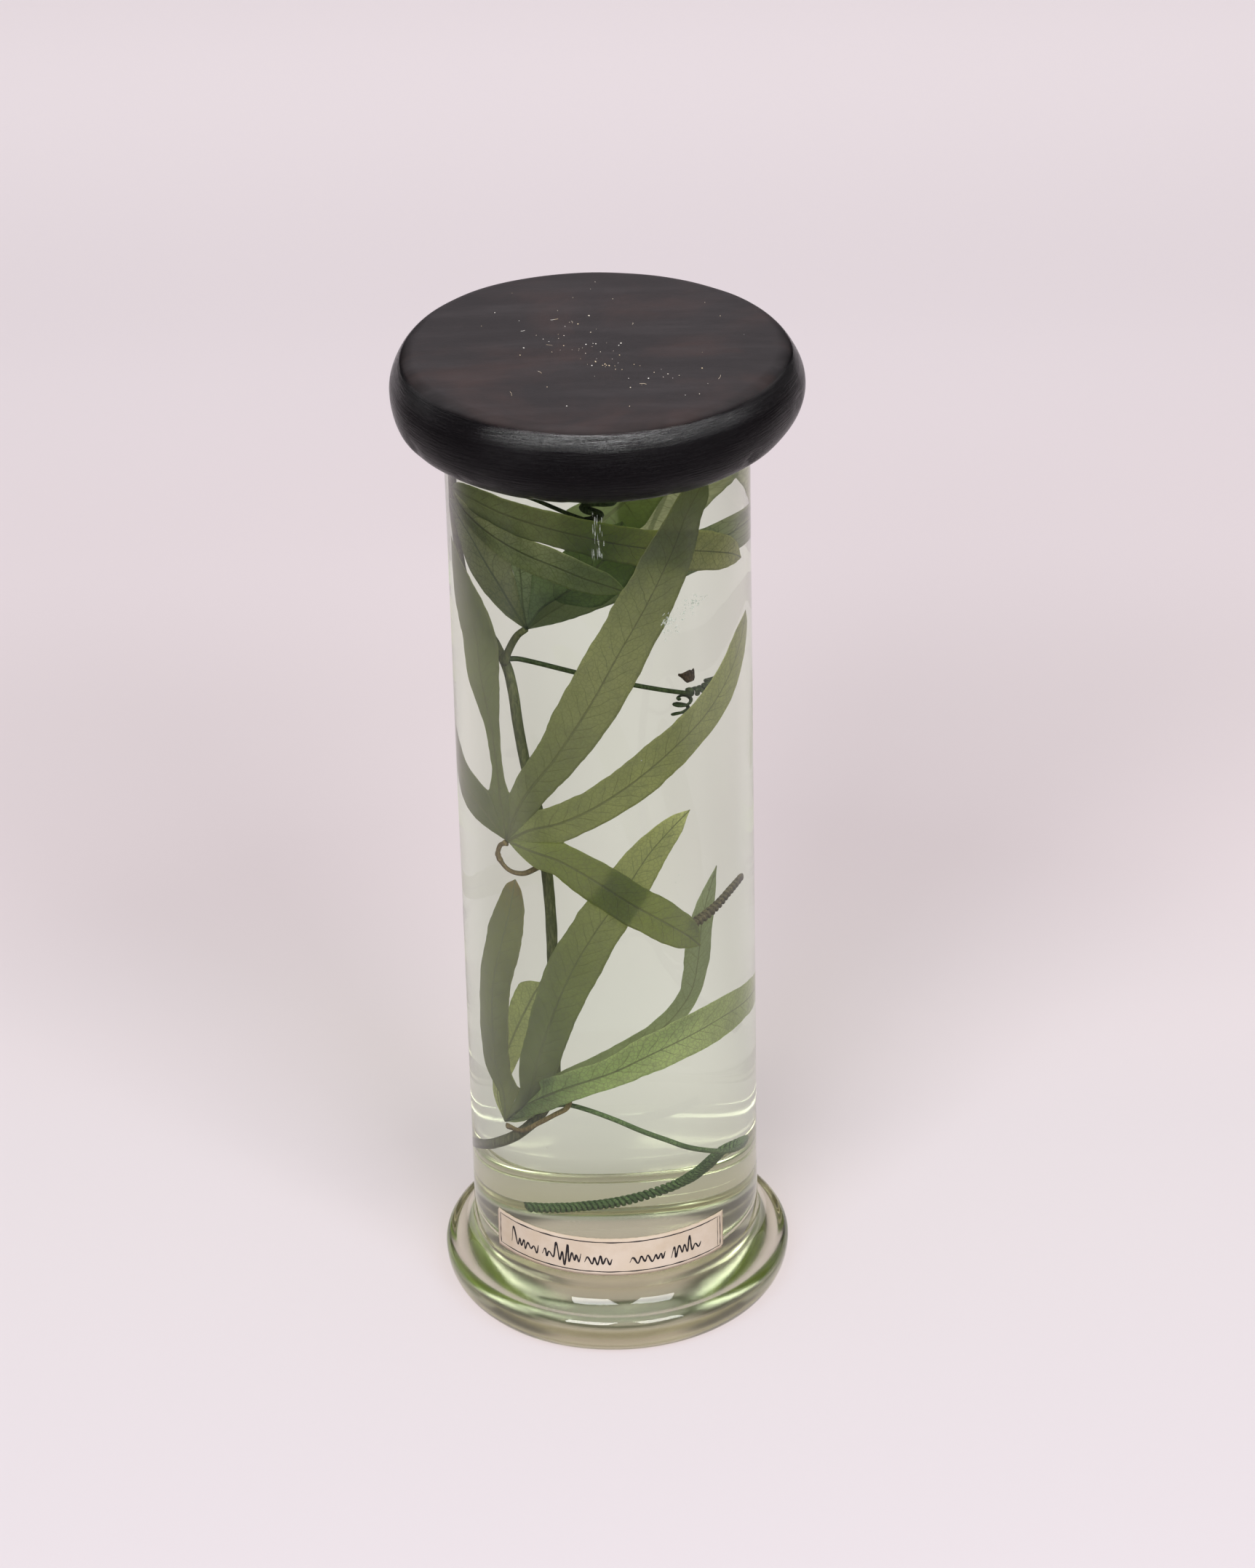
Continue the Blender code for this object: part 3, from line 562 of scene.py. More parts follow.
def lobe_rows(base, lobe, notches, seed):
    """Rows of (left edge, centre, right edge, mm along the midrib, fraction)."""
    stations = [base] + [around(*s[:3]) for s in lobe["stations"]]
    widths = [0.0] + [s[3] for s in lobe["stations"]]
    known = [notch for notch in notches if notch is not None]
    reach = sum((notch - base).length for notch in known) / len(known)
    web_end = web_fraction(stations, reach)
    length = sum((a - b).length for a, b in zip(stations, stations[1:])) / MM
    lobe_rows_count = max(24, int(length * 1.1))
    rows, down, before = [], 0.0, base
    held = [None, None]
    for row in range(WEB_ROWS + lobe_rows_count + 1):
        if row <= WEB_ROWS:
            fraction = web_end * row / WEB_ROWS
        else:
            fraction = web_end + (1 - web_end) * (row - WEB_ROWS) / lobe_rows_count
        centre = catmull(stations, fraction)
        down += (centre - before).length / MM
        before = centre
        step = (catmull(stations, fraction + 0.008) - catmull(stations, fraction - 0.008))
        tangent = step.normalized()
        if lobe.get("facing") is None:
            outward = Vector((centre.x, centre.y, 0.0)).normalized()
        else:
            outward = around(lobe["facing"], 0.0, 1.0).normalized()
        across = outward.cross(tangent).normalized()
        half = max(catmull([Number(w) for w in widths], fraction).value, 0.0) / 2
        sides = []
        past = max(down - reach / MM, 0.0)
        for index, (side, notch) in enumerate(((1, notches[0]), (-1, notches[1]))):
            teeth = noise.noise(Vector((down * 0.16, side * 7.3 + seed, seed * 1.7)))
            fine = noise.noise(Vector((down * 0.55, side * 3.1, seed * 2.3)))
            wide = half * (1 + 0.07 * teeth) + 0.16 * fine * min(half, 1.0)
            edge = centre + across * (wide * MM * side)
            if lobe.get("facing") is None:
                size = math.hypot(edge.x, edge.y)
                fit = math.hypot(centre.x, centre.y) / max(size, 1e-9)
                edge = Vector((edge.x * fit, edge.y * fit, edge.z))
            if notch is not None:
                if row <= WEB_ROWS:
                    edge = base.lerp(notch, row / WEB_ROWS)
                else:
                    if held[index] is None:
                        held[index] = notch - edge
                    edge = edge + held[index] * max(1.0 - past / 5.0, 0.0) ** 2
            sides.append(edge)
        rows.append((sides[0], centre, sides[1], down, fraction))
    tip = rows[-1][1]
    rows[-1] = (tip, tip, tip, rows[-1][3], 1.0)
    return rows


class Number:
    """A float that works with catmull."""

    def __init__(self, value):
        self.value = value

    def __mul__(self, factor):
        return Number(self.value * factor)

    def __add__(self, other):
        return Number(self.value + other.value)

    def __sub__(self, other):
        return Number(self.value - other.value)


def leaf(name, node, base, lobes, notches, material, ripple=0.35, curl=0.5):
    """A palmate leaf in detail: rippled blade, sunk midribs, uneven edges."""
    base = around(*base)
    bounds = [None] + [around(*notch) for notch in notches] + [None]
    verts, faces, vein, tint_and_painted_light = [], [], [], []
    for number, lobe in enumerate(lobes):
        seed = number * 3.7 + len(name)
        rows = lobe_rows(base, lobe, (bounds[number], bounds[number + 1]), seed)
        first = len(verts)
        # Tones along the lobe, partly its own colour and partly painted light and shade.
        tones = lobe.get("tones", ((1.0, 1.0, 1.0), (1.0, 1.0, 1.0)))
        for left, centre, right, down, fraction in rows:
            place = fraction * (len(tones) - 1)
            step = min(int(place), len(tones) - 2)
            tone = [a + (b - a) * (place - step) for a, b in zip(tones[step], tones[step + 1])]
            outward = Vector((centre.x, centre.y, 0.0))
            outward = outward.normalized() if outward.length > 1e-6 else Vector((0, -1, 0))
            for j in range(-EDGE_SIDE, EDGE_SIDE + 1):
                share = j / EDGE_SIDE
                end = left if j < 0 else right
                point = centre.lerp(end, abs(share))
                half = (end - centre).length / MM
                rise = ripple * noise.noise(Vector((down * 0.22, share * 1.3 + seed, seed)))
                rise += ripple * 0.5 * noise.noise(Vector((down * 0.6, share * 2.5, seed + 9)))
                lift = abs(share) * rise * min(half / 3.0, 1.0) - curl * 0.12 * (1 - abs(share))
                point = point - outward * (max(lift, -0.9) * MM)
                verts.append(point)
                vein.append((abs(share) * half, down, half))
                tint_and_painted_light.append((*tone, 1.0))
        columns = 2 * EDGE_SIDE + 1
        for i in range(len(rows) - 1):
            for j in range(columns - 1):
                a = first + i * columns + j
                faces.append((a, a + 1, a + 1 + columns, a + columns))
    piece = make_piece(name, verts, faces, material, "jar", (node,), "leaf_green",
                       {"vein": ("FLOAT_VECTOR", vein), "tint_and_painted_light": ("FLOAT_COLOR", tint_and_painted_light)})
    shape = bmesh.new()
    shape.from_mesh(piece.data)
    bmesh.ops.remove_doubles(shape, verts=shape.verts, dist=0.012 * MM)
    bmesh.ops.dissolve_degenerate(shape, edges=shape.edges, dist=0.008 * MM)
    bmesh.ops.recalc_face_normals(shape, faces=shape.faces)
    shape.to_mesh(piece.data)
    shape.free()
    piece.data.shade_smooth()
    shell = piece.modifiers.new("thickness", "SOLIDIFY")
    shell.thickness = LEAF_THICKNESS
    shell.offset = 0.0
    return piece


def all_leaves():
    # Sheen colours: partly the leaves' dull surface and partly painted haze for the glass's
    # reflection, stronger on leaves near the glass, weaker on deep ones.
    near_glass_haze = (0.042, 0.047, 0.042)
    deep = (0.017, 0.022, 0.020)
    olive = leaf_material("leaf_olive", (0.435, 0.485, 0.158), (0.19, 0.212, 0.068), near_glass_haze)
    lower = leaf_material("leaf_lower", (0.435, 0.50, 0.175), (0.19, 0.225, 0.08), near_glass_haze)
    crown = leaf_material("leaf_crown", (0.20, 0.245, 0.125), (0.10, 0.13, 0.068), deep, net=0.40)
    upper = leaf_material("leaf_upper", (0.43, 0.47, 0.18), (0.19, 0.21, 0.08), deep)
    back = leaf_material("leaf_back", (0.48, 0.53, 0.30), (0.20, 0.24, 0.12), deep)
    # Painted shade for the lobes that lie by the glass's left edge.
    painted_edge_shade = (0.44, 0.48, 0.42)
    left = [(-54.5, 128.7, 28.4, 5.9), (-63.5, 131.0, 28.6, 9.6), (-74.5, 132.8, 28.6, 10.6),
            (-85, 136.8, 28.6, 9.0), (-97, 143.5, 28.4, 6.0), (-112, 154, 27.8, 0.0)]
    upper_left = [(-48, 134, 28.5, 3.2), (-49.9, 144, 28.6, 3.3), (-52.3, 153, 28.6, 4.9),
                  (-57.8, 163.4, 28.6, 11.0), (-60.5, 173.5, 28.6, 12.8),
                  (-70.5, 182, 28.6, 11.5), (-82, 191.5, 28.6, 0.0)]
    middle = [(-36.6, 137.2, 28.5, 6.6), (-20.5, 149.7, 28.6, 9.3), (-5.3, 163.3, 28.6, 12.1),
              (5.8, 174.5, 28.6, 12.2), (18.6, 186.2, 28.6, 12.3), (29.8, 197, 28.6, 11.3),
              (36.7, 204.6, 28.6, 8.8), (43.5, 209.3, 28.6, 6.8), (48, 212.3, 28.6, 0.0)]
    right = [(-33, 130.5, 28.5, 6.0), (-18.1, 134.1, 28.6, 8.0), (-2.9, 138.9, 28.6, 8.6),
             (12.8, 144.5, 28.6, 9.8), (29, 150.3, 28.6, 10.0), (45.4, 155.6, 28.6, 9.8),
             (59.7, 161.1, 28.6, 9.6), (69.6, 166.3, 28.6, 8.6), (75.5, 170.5, 28.6, 5.0),
             (78, 173.0, 28.6, 0.0)]
    lower_right = [(-33.2, 125.2, 28.5, 6.8), (-19.6, 124.2, 28.6, 8.4),
                   (-4.8, 119.8, 28.6, 10.0), (9, 114, 28.6, 9.4), (22.6, 108.3, 28.6, 8.9),
                   (33.9, 102.9, 28.6, 6.9), (41, 98.8, 28.5, 0.0)]
    leaf("specimen_leaf_upper", "upper_leaf", (-46, 125.5, 28.0),
         [{"stations": left, "tones": ((0.33, 0.37, 0.27), (0.27, 0.30, 0.23))},
          {"stations": upper_left, "tones": (painted_edge_shade, painted_edge_shade)},
          {"stations": middle, "tones": ((0.42, 0.44, 0.45), (0.56, 0.58, 0.60), (1.0, 0.98, 1.1),
                                         (0.85, 0.85, 0.95), (0.50, 0.56, 0.62),
                                         (0.56, 0.62, 0.62))},
          {"stations": right, "tones": ((0.72, 0.76, 0.72), (1.10, 1.06, 1.1))},
          {"stations": lower_right, "tones": ((0.66, 0.72, 0.5), (0.64, 0.70, 0.45))}],
         [(-56, 136, 28.6), (-43, 138, 28.6), (-29, 136, 28.6), (-18, 129, 28.6)], olive)

    folded_left = [(-66, 55, 24.0, 4.0), (-68, 62, 21.5, 5.5), (-61, 72, 20.0, 7.0),
                   (-51, 80.6, 19.6, 8.2), (-44.5, 85.4, 19.8, 6.3), (-39.5, 88.4, 20.0, 0.0)]
    left = [(-57.5, 57, 25.8, 5.4), (-62.3, 64.5, 26.3, 9.5), (-63, 74.9, 26.5, 10.4),
            (-60.8, 86, 26.5, 9.7), (-53.8, 97.8, 26.5, 9.3), (-48.5, 106.5, 26.3, 7.6),
            (-46.0, 112.5, 26.0, 4.6), (-45.0, 115.5, 25.8, 0.0)]
    middle = [(-42.5, 58.3, 26.0, 6.0), (-35.3, 69.2, 27.0, 8.8), (-27.8, 81.2, 27.4, 9.5),
              (-18.4, 94.2, 27.4, 10.9), (-7.1, 105.7, 27.5, 10.6), (5.4, 115.7, 27.5, 9.9),
              (18.0, 125.3, 27.4, 8.5), (29.5, 130.7, 27.3, 5.5), (38, 133.4, 27.2, 0.0)]
    right = [(-46, 56, 25.7, 5.0), (-32.5, 61.5, 26.5, 6.8), (-18, 66.3, 27.3, 7.0),
             (0, 70.5, 27.5, 7.6), (18, 74.4, 27.5, 9.9), (36.2, 76.4, 27.5, 10.8),
             (54, 76.9, 27.5, 10.4), (73.5, 75.4, 27.5, 8.8), (98, 72.3, 27.5, 6.4),
             (128, 67, 27.0, 0.0)]
    folded_right = [(-48, 54, 24.8, 4.0), (-37, 60.6, 24.0, 5.0), (-21.2, 66.4, 22.8, 4.6),
                    (-6.4, 69.9, 21.6, 5.0), (11, 74.0, 21.5, 5.2), (29, 78.4, 21.6, 5.6),
                    (43.6, 84.8, 22.0, 5.7), (48.1, 92.7, 22.4, 6.5), (50, 100.9, 22.8, 6.8),
                    (53.5, 107.5, 23.2, 4.8), (60, 114.3, 23.6, 0.0)]
    leaf("specimen_leaf_lower", "lower_leaf", (-58, 49.5, 25.5),
         [{"stations": folded_left},
          {"stations": left, "tones": ((0.42, 0.46, 0.34), (0.45, 0.46, 0.34), (0.44, 0.45, 0.33),
                                       (0.45, 0.46, 0.34), (0.46, 0.46, 0.33),
                                       (0.50, 0.44, 0.30), (0.75, 0.42, 0.22))},
          {"stations": middle, "tones": ((0.38, 0.42, 0.33), (0.46, 0.50, 0.40),
                                         (0.80, 0.80, 0.74), (1.75, 1.68, 1.72))},
          {"stations": right, "tones": ((0.62, 0.74, 0.74), (1.20, 1.45, 1.55),
                                        (1.50, 1.65, 1.95), (1.00, 1.04, 1.12),
                                        (0.88, 0.92, 0.96))},
          {"stations": folded_right, "tones": ((0.50, 0.60, 0.64), (0.66, 0.72, 0.86),
                                               (0.82, 0.88, 1.25))}],
         [(-62.5, 56.5, 25.4), (-46.5, 61.0, 25.8), (-28.5, 66.6, 26.2), (-46, 53.2, 25.2)], lower)

    left = [(-45.5, 181, 22.6, 7.0), (-52, 185.5, 23.4, 12.0), (-60, 190, 24.2, 14.0),
            (-70, 194.5, 24.8, 12.5), (-80, 197, 25.2, 8.0), (-92, 198.5, 25.6, 0.0)]
    middle_left = [(-41, 183, 21.9, 6.0), (-42.5, 188, 21.5, 8.8), (-44, 193, 21.2, 8.6),
                   (-46, 198, 21.0, 6.5), (-48, 203, 20.8, 0.0)]
    middle_right = [(-32, 182, 21.0, 7.0), (-21, 185.8, 20.3, 11.0), (-9, 189.8, 19.8, 13.5),
                    (1, 194, 19.5, 14.5), (8, 198.5, 19.2, 11.5), (13, 203, 19.0, 0.0)]
    crossing = [(-35, 179.9, 13.4, 7.0), (-25, 181.2, 5.5, 9.0), (131, 182.5, 9.1, 9.6),
                (138, 182.4, 16.1, 9.2), (141, 183.2, 21.5, 8.2), (140, 185.5, 25.0, 6.0),
                (134, 188.5, 26.0, 0.0)]
    leaf("specimen_leaf_crown", "crown_leaf", (-39, 176.9, 22.0),
         [{"stations": left, "tones": ((0.9, 0.9, 0.9), (1.45, 1.30, 1.25), (1.3, 1.2, 1.2))},
          {"stations": middle_left, "tones": ((1.0, 1.1, 1.25), (1.7, 1.75, 1.8))},
          {"stations": middle_right, "tones": ((1.0, 1.15, 1.3), (0.8, 1.0, 0.7), (0.6, 0.8, 0.4))},
          {"stations": crossing, "facing": 20.0,
           "tones": ((0.72, 0.76, 0.78), (0.9, 0.95, 0.9), (1.85, 1.70, 1.85))}],
         [(-47.5, 194.5, 22.8), (-36.5, 190, 21.0), (-31, 184, 17.5)], crown)

    band = [(-72, 204.3, 26.8, 4.5), (-58, 205, 27.0, 6.5), (-42, 204.8, 27.0, 7.6),
            (-26, 204.2, 27.0, 8.0), (-10, 202.9, 27.0, 8.0), (8, 200.6, 27.0, 8.2),
            (26, 197.8, 27.0, 8.6), (42, 195.3, 27.0, 8.8), (58, 191.8, 27.0, 7.8),
            (69, 188.8, 27.0, 5.2), (77, 186, 27.0, 0.0)]
    lower_band = [(-74, 201, 26.5, 4.0), (-60, 199.3, 26.3, 6.0), (-46, 197.7, 26.0, 7.2),
                  (-33, 196.3, 26.0, 7.6), (-20, 194.8, 26.0, 7.6), (-9, 192.8, 26.0, 7.0),
                  (2, 190.8, 26.0, 5.0), (12, 188.6, 26.0, 0.0)]
    leaf("specimen_leaf_top", "top_leaf", (-84, 203, 26.5),
         [{"stations": band, "tones": ((0.50, 0.52, 0.60), (0.60, 0.64, 0.70),
                                       (0.70, 0.76, 0.80), (0.78, 0.84, 0.82),
                                       (0.42, 0.54, 0.30), (0.86, 0.90, 0.66),
                                       (1.25, 1.20, 1.25), (1.45, 1.35, 1.5), (1.35, 1.25, 1.3))},
          {"stations": lower_band, "tones": ((0.72, 0.72, 0.85), (1.20, 1.20, 1.60),
                                             (1.10, 1.15, 1.50), (0.48, 0.62, 0.38))}],
         [(-66, 202.2, 26.8)], upper)

    outer = [(162.5, 201.5, 28.0, 6.6), (165.5, 195, 28.2, 8.6), (167.5, 189.5, 28.2, 8.4),
             (169.5, 184, 28.2, 5.6), (171, 179.5, 28.2, 0.0)]
    inner = [(166, 203, 28.0, 5.5), (170, 197, 28.0, 6.5), (174, 191.8, 28.0, 6.8),
             (178.7, 187.4, 28.0, 8.6), (180.5, 184.2, 28.0, 7.6), (180.9, 180.8, 28.0, 5.9),
             (181.2, 177.6, 28.0, 5.8), (180.6, 174.0, 28.0, 6.6), (180.6, 170.6, 28.0, 4.8),
             (180.1, 167.4, 28.0, 0.0)]
    leaf("specimen_leaf_back", "back_leaf", (157, 208.5, 27.6),
         [{"stations": inner, "tones": ((1.0, 1.0, 1.0), (0.8, 0.9, 0.75), (0.26, 0.38, 0.22),
                                        (0.20, 0.32, 0.18), (0.35, 0.45, 0.30))},
          {"stations": outer}], [(167.5, 197.5, 28.0)], back)


# ---------------------------------------------------------------- stems and tendrils

def stalk(name, node, places, start, end, samples, material, slot, swell=(), sides=14,
          flute=0.10):
    """A stem or petiole through the places. swell lists (fraction, reach, growth)."""
    stations = [around(*place) for place in places]
    path = smooth_path(stations, samples)
    radii = []
    for i, point in enumerate(path):
        fraction = i / samples
        radius = start + (end - start) * fraction
        for centre, reach, growth in swell:
            radius *= 1 + growth * math.exp(-((fraction - centre) / reach) ** 2)
        radius *= 1 + 0.06 * noise.noise(point * 420)
        radii.append(radius * MM)
    verts, faces = swept(path, radii, sides, flute)
    return make_piece(name, verts, faces, material, "jar", (node,), slot)


def helix(path, coil_radius, wire, pitch, per_turn=12, sides=7):
    """A wire wound round a path: radius, wire radius and pitch in mm."""
    lengths = [0.0]
    for a, b in zip(path, path[1:]):
        lengths.append(lengths[-1] + (b - a).length / MM)
    total = lengths[-1]
    count = int(total / pitch * per_turn)
    reference, points, radii = None, [], []
    for i in range(count + 1):
        distance = total * i / count
        k = max(j for j in range(len(lengths)) if lengths[j] <= distance + 1e-9)
        k = min(k, len(path) - 2)
        share = (distance - lengths[k]) / max(lengths[k + 1] - lengths[k], 1e-9)
        centre = path[k].lerp(path[k + 1], min(share, 1.0))
        ahead = (path[k + 1] - path[k]).normalized()
        if reference is None:
            reference = ahead.orthogonal().normalized()
        reference = (reference - ahead * reference.dot(ahead)).normalized()
        other = ahead.cross(reference)
        angle = 2 * math.pi * i / per_turn
        loose = 1 + 0.10 * noise.noise(Vector((i * 0.03, 3.1, 0.4)))
        reach = (coil_radius(i / count) if callable(coil_radius) else coil_radius) * loose
        points.append(centre + (reference * math.cos(angle) + other * math.sin(angle))
                      * (reach * MM))
        radii.append(wire * MM)
    return swept(points, radii, sides)


def stems_and_tendrils():
    stem_upper = stem_material("stem_olive", (0.140, 0.155, 0.072), (0.062, 0.074, 0.036))
    brown = stem_material("petiole_ochre", (0.25, 0.20, 0.08), (0.11, 0.09, 0.035), clear=0.15)
    green = stem_material("tendril_dark", (0.075, 0.10, 0.05), (0.03, 0.045, 0.022))
    knobbly = stem_material("stub_bark", (0.150, 0.135, 0.065), (0.05, 0.05, 0.026),
                            scale=(1.0, 1.0, 1.0))
    coil_green = stem_material("coil_green", (0.16, 0.24, 0.10), (0.055, 0.095, 0.038),
                               scale=(1.0, 1.0, 1.0))
    bract = stem_material("bract_umber", (0.09, 0.055, 0.03), (0.03, 0.02, 0.012),
                          scale=(1.0, 1.0, 0.5))
    stalk("specimen_stem", "main_stem", (
        (-100, 214.0, 22.3), (-101, 206, 22.6), (-100, 196, 22.8), (-95, 187, 22.6),
        (-85, 178.5, 22.2), (-70, 171.5, 21.2), (-58.4, 165.8, 20.2), (-53.8, 159.5, 20.0),
        (-51, 152, 20.0), (-46, 142, 20.0), (-38.6, 131, 20.0), (-34.8, 118, 20.0),
        (-33, 106, 20.0), (-32.8, 94, 20.0), (-33, 82, 19.5), (-34.5, 70, 19.0), (-36, 62, 19.5),
        (-41, 54.5, 21.0), (-52, 47.5, 23.5), (-68, 41, 25.5), (-86, 35.5, 26.5),
        (-97, 32, 27.0)), 1.1, 1.2, 220, stem_upper, "stem_green",
        swell=((0.25, 0.012, 0.35), (0.75, 0.012, 0.3), (0.10, 0.012, 0.2)))
    stalk("specimen_petiole_upper", "upper_petiole", (
        (-36, 119.0, 21.9), (-42.5, 117.0, 24.3), (-49, 117.3, 26.0), (-53.3, 120.0, 27.0),
        (-51, 123.2, 27.6), (-46.9, 124.8, 27.9)), 0.62, 0.55, 60, brown, "petiole_brown",
        swell=((0.55, 0.03, 0.45), (0.62, 0.03, 0.45), (1.0, 0.06, 0.5)))
    stalk("specimen_petiole_lower", "lower_petiole", (
        (-56.8, 48.7, 25.4), (-47, 49.6, 25.3), (-38, 53, 25.0), (-29, 56.5, 24.6),
        (-23.5, 58.5, 24.0), (-22.5, 60.3, 23.0), (-27, 61, 21.9), (-33, 61.5, 21.5)),
        0.55, 0.62, 70, brown, "petiole_brown", swell=((0.0, 0.05, 0.5),))
    stalk("specimen_petiole_crown", "crown_petiole", (
        (-58, 166.2, 20.9), (-54.5, 168.8, 21.0), (-50, 172, 21.3), (-45, 174.8, 21.8),
        (-40, 176.8, 22.0)), 0.80, 0.72, 40, stem_upper, "stem_green",
        swell=((0.05, 0.12, 0.35),))
    stalk("specimen_petiole_top", "top_petiole", (
        (-85.5, 197.5, 23.5), (-87.5, 200, 25.0), (-84.9, 202.5, 26.25)), 0.6, 0.6, 24,
        stem_upper, "stem_green")
    stalk("specimen_petiole_back", "back_petiole", (
        (150.4, 211.2, 27.5), (147, 213, 26.6), (142, 214.6, 25.5)), 0.6, 0.6, 24,
        stem_upper, "stem_green")

    def inside(x, y, z):
        return Vector((x, y, z)) * MM

    straight = smooth_path([inside(-16.8, -11.6, 167.4), inside(-14.4, -11.2, 167.4),
                            inside(-10, -9.8, 165.9),
                            inside(-5.7, -8, 163.9), inside(-0.5, -6, 161.3),
                            inside(5.7, -4, 158.2), inside(13.2, -0.8, 154.0)], 60)
    loose = [inside(12.6, -0.8, 153.2), inside(12.2, -0.2, 152.0), inside(11.6, 0.2, 150.4),
             inside(11.7, 0.4, 148.0)]
    curl = helix(smooth_path(loose, 24), 1.15, 0.32, 2.1, 16, 8)
    snarl = helix(smooth_path([inside(13.0, -0.6, 154.2), inside(14.6, 0.4, 153.9),
                               inside(16.2, 0.8, 154.8), inside(16.0, 1.0, 155.9)], 30),
                  0.75, 0.42, 1.0, 12, 8)
    body = swept(straight, [(0.62 - 0.12 * i / 60) * MM for i in range(61)], 10)
    make_piece("specimen_tendril_mid", *joined([body, curl, snarl]), green, "jar",
               ("mid_tendril",), "tendril_green")

    straight = smooth_path([inside(-20.2, 0.6, 208.3), inside(-13.5, 0, 203.8),
                            inside(-8.8, 0, 201.3), inside(-4.6, 0, 198.6),
                            inside(-2.2, 0, 197.2)], 50)
    knot = [inside(-2.2, 0, 197.2), inside(-0.9, 0.3, 197.0), inside(0.3, 0.5, 198.2),
            inside(-1.5, 0.9, 199.0), inside(-2.2, 1.2, 200.0), inside(-0.4, 1.5, 200.6),
            inside(1.4, 1.2, 200.2), inside(1.9, 0.6, 201.2), inside(0.4, 0.2, 202.0)]
    path = smooth_path(knot, 60)
    thick = [0.50 + 0.42 * abs(math.sin(i * 0.21)) for i in range(61)]
    curl = swept(path, [t * MM for t in thick], 10)
    body = swept(straight, [0.46 * MM] * 51, 10)
    make_piece("specimen_tendril_top", *joined([body, curl]), green, "jar", ("top_tendril",),
               "tendril_green")

    shoot = [around(*place) for place in (
        (-35.5, 57.0, 22.1), (-25, 58.6, 22.0), (-13, 58.0, 22.2), (1, 55.6, 22.4),
        (14, 52.2, 22.6), (27, 48.6, 23.0), (38, 45.2, 23.5), (52, 41.5, 24.2), (66, 38, 24.6),
        (80, 35.5, 24.0))]
    wound = [inside(21, 2, 33.5), inside(16.2, 4, 32.2), inside(12.1, 7.6, 26.9),
             inside(9.0, 9.6, 23.3), inside(5.1, 9.6, 21.1), inside(0.5, 7.8, 20.0),
             inside(-4.6, 5.8, 19.7), inside(-9.3, 4, 19.6), inside(-13.4, 3, 19.5)]
    whole = smooth_path(shoot + wound, 340)
    start = int(340 * 9.6 / 18)
    body = swept(whole[:start + 4], [0.60 * MM] * (start + 4), 10)
    spring = helix(whole[start:], lambda t: 0.98 * min(1.0, 0.35 + t * 9), 0.34, 0.86, 12, 7)
    core = swept(whole[start:], [0.78 * MM] * len(whole[start:]), 10)
    make_piece("specimen_tendril_low", *joined([body, core, spring]), coil_green, "jar",
               ("lower_tendril",), "tendril_green")

    places = [around(*place) for place in (
        (37.0, 103.9, 26.6), (45, 104.8, 26.6), (54.5, 105.8, 26.4), (64, 107.0, 26.2),
        (76, 107.6, 26.2))]
    path = smooth_path(places, 90)
    bark = [(0.98 - 0.26 * i / 90) * (1 + 0.12 * math.sin(i * 0.55) * noise.noise(
        Vector((i * 0.11, 4.0, 1.0)))) * MM for i in range(91)]
    ribs = helix(path, lambda t: 1.04 - 0.28 * t, 0.40, 1.15, 14, 8)
    core = swept(path, bark, 12)
    make_piece("specimen_tendril_stub", *joined([core, ribs]), knobbly, "jar",
               ("tendril_stub",), "tendril_green")
    make_bract(bract)


def make_bract(material):
    """A small open cup with a torn rim."""
    rows = [(0.0, 0.0), (0.55, 0.05), (0.85, 0.7), (1.0, 1.4), (1.35, 2.4), (1.12, 2.4),
            (0.75, 1.4), (0.4, 0.6), (0.0, 0.5)]
    profile = [(r, z) for r, z in reversed(rows)]

    def torn(azimuth, radius, height):
        ragged = noise.noise(Vector((azimuth * 0.05, radius, 2.0)))
        return radius * (1 + 0.18 * ragged), height + (0.5 * ragged if height > 2 else 0.0)

    verts, faces = lathe(refined(profile, 0.25), steps=28, shift=torn)
    place = (Matrix.Translation(Vector((13.4, -0.4, 156.6)) * MM)
             @ Matrix.Rotation(math.radians(-18), 4, "Y")
             @ Matrix.Rotation(math.radians(-10), 4, "X"))
    verts = [place @ Vector(v) for v in verts]
    make_piece("specimen_bract", verts, faces, material, "jar", ("tendril_bract",),
               "bract_brown")


# ---------------------------------------------------------------- vessel and closure

FILLET = 6.5
EDGE_ROUND = 3.0
EDGE_HEIGHT = 7.4


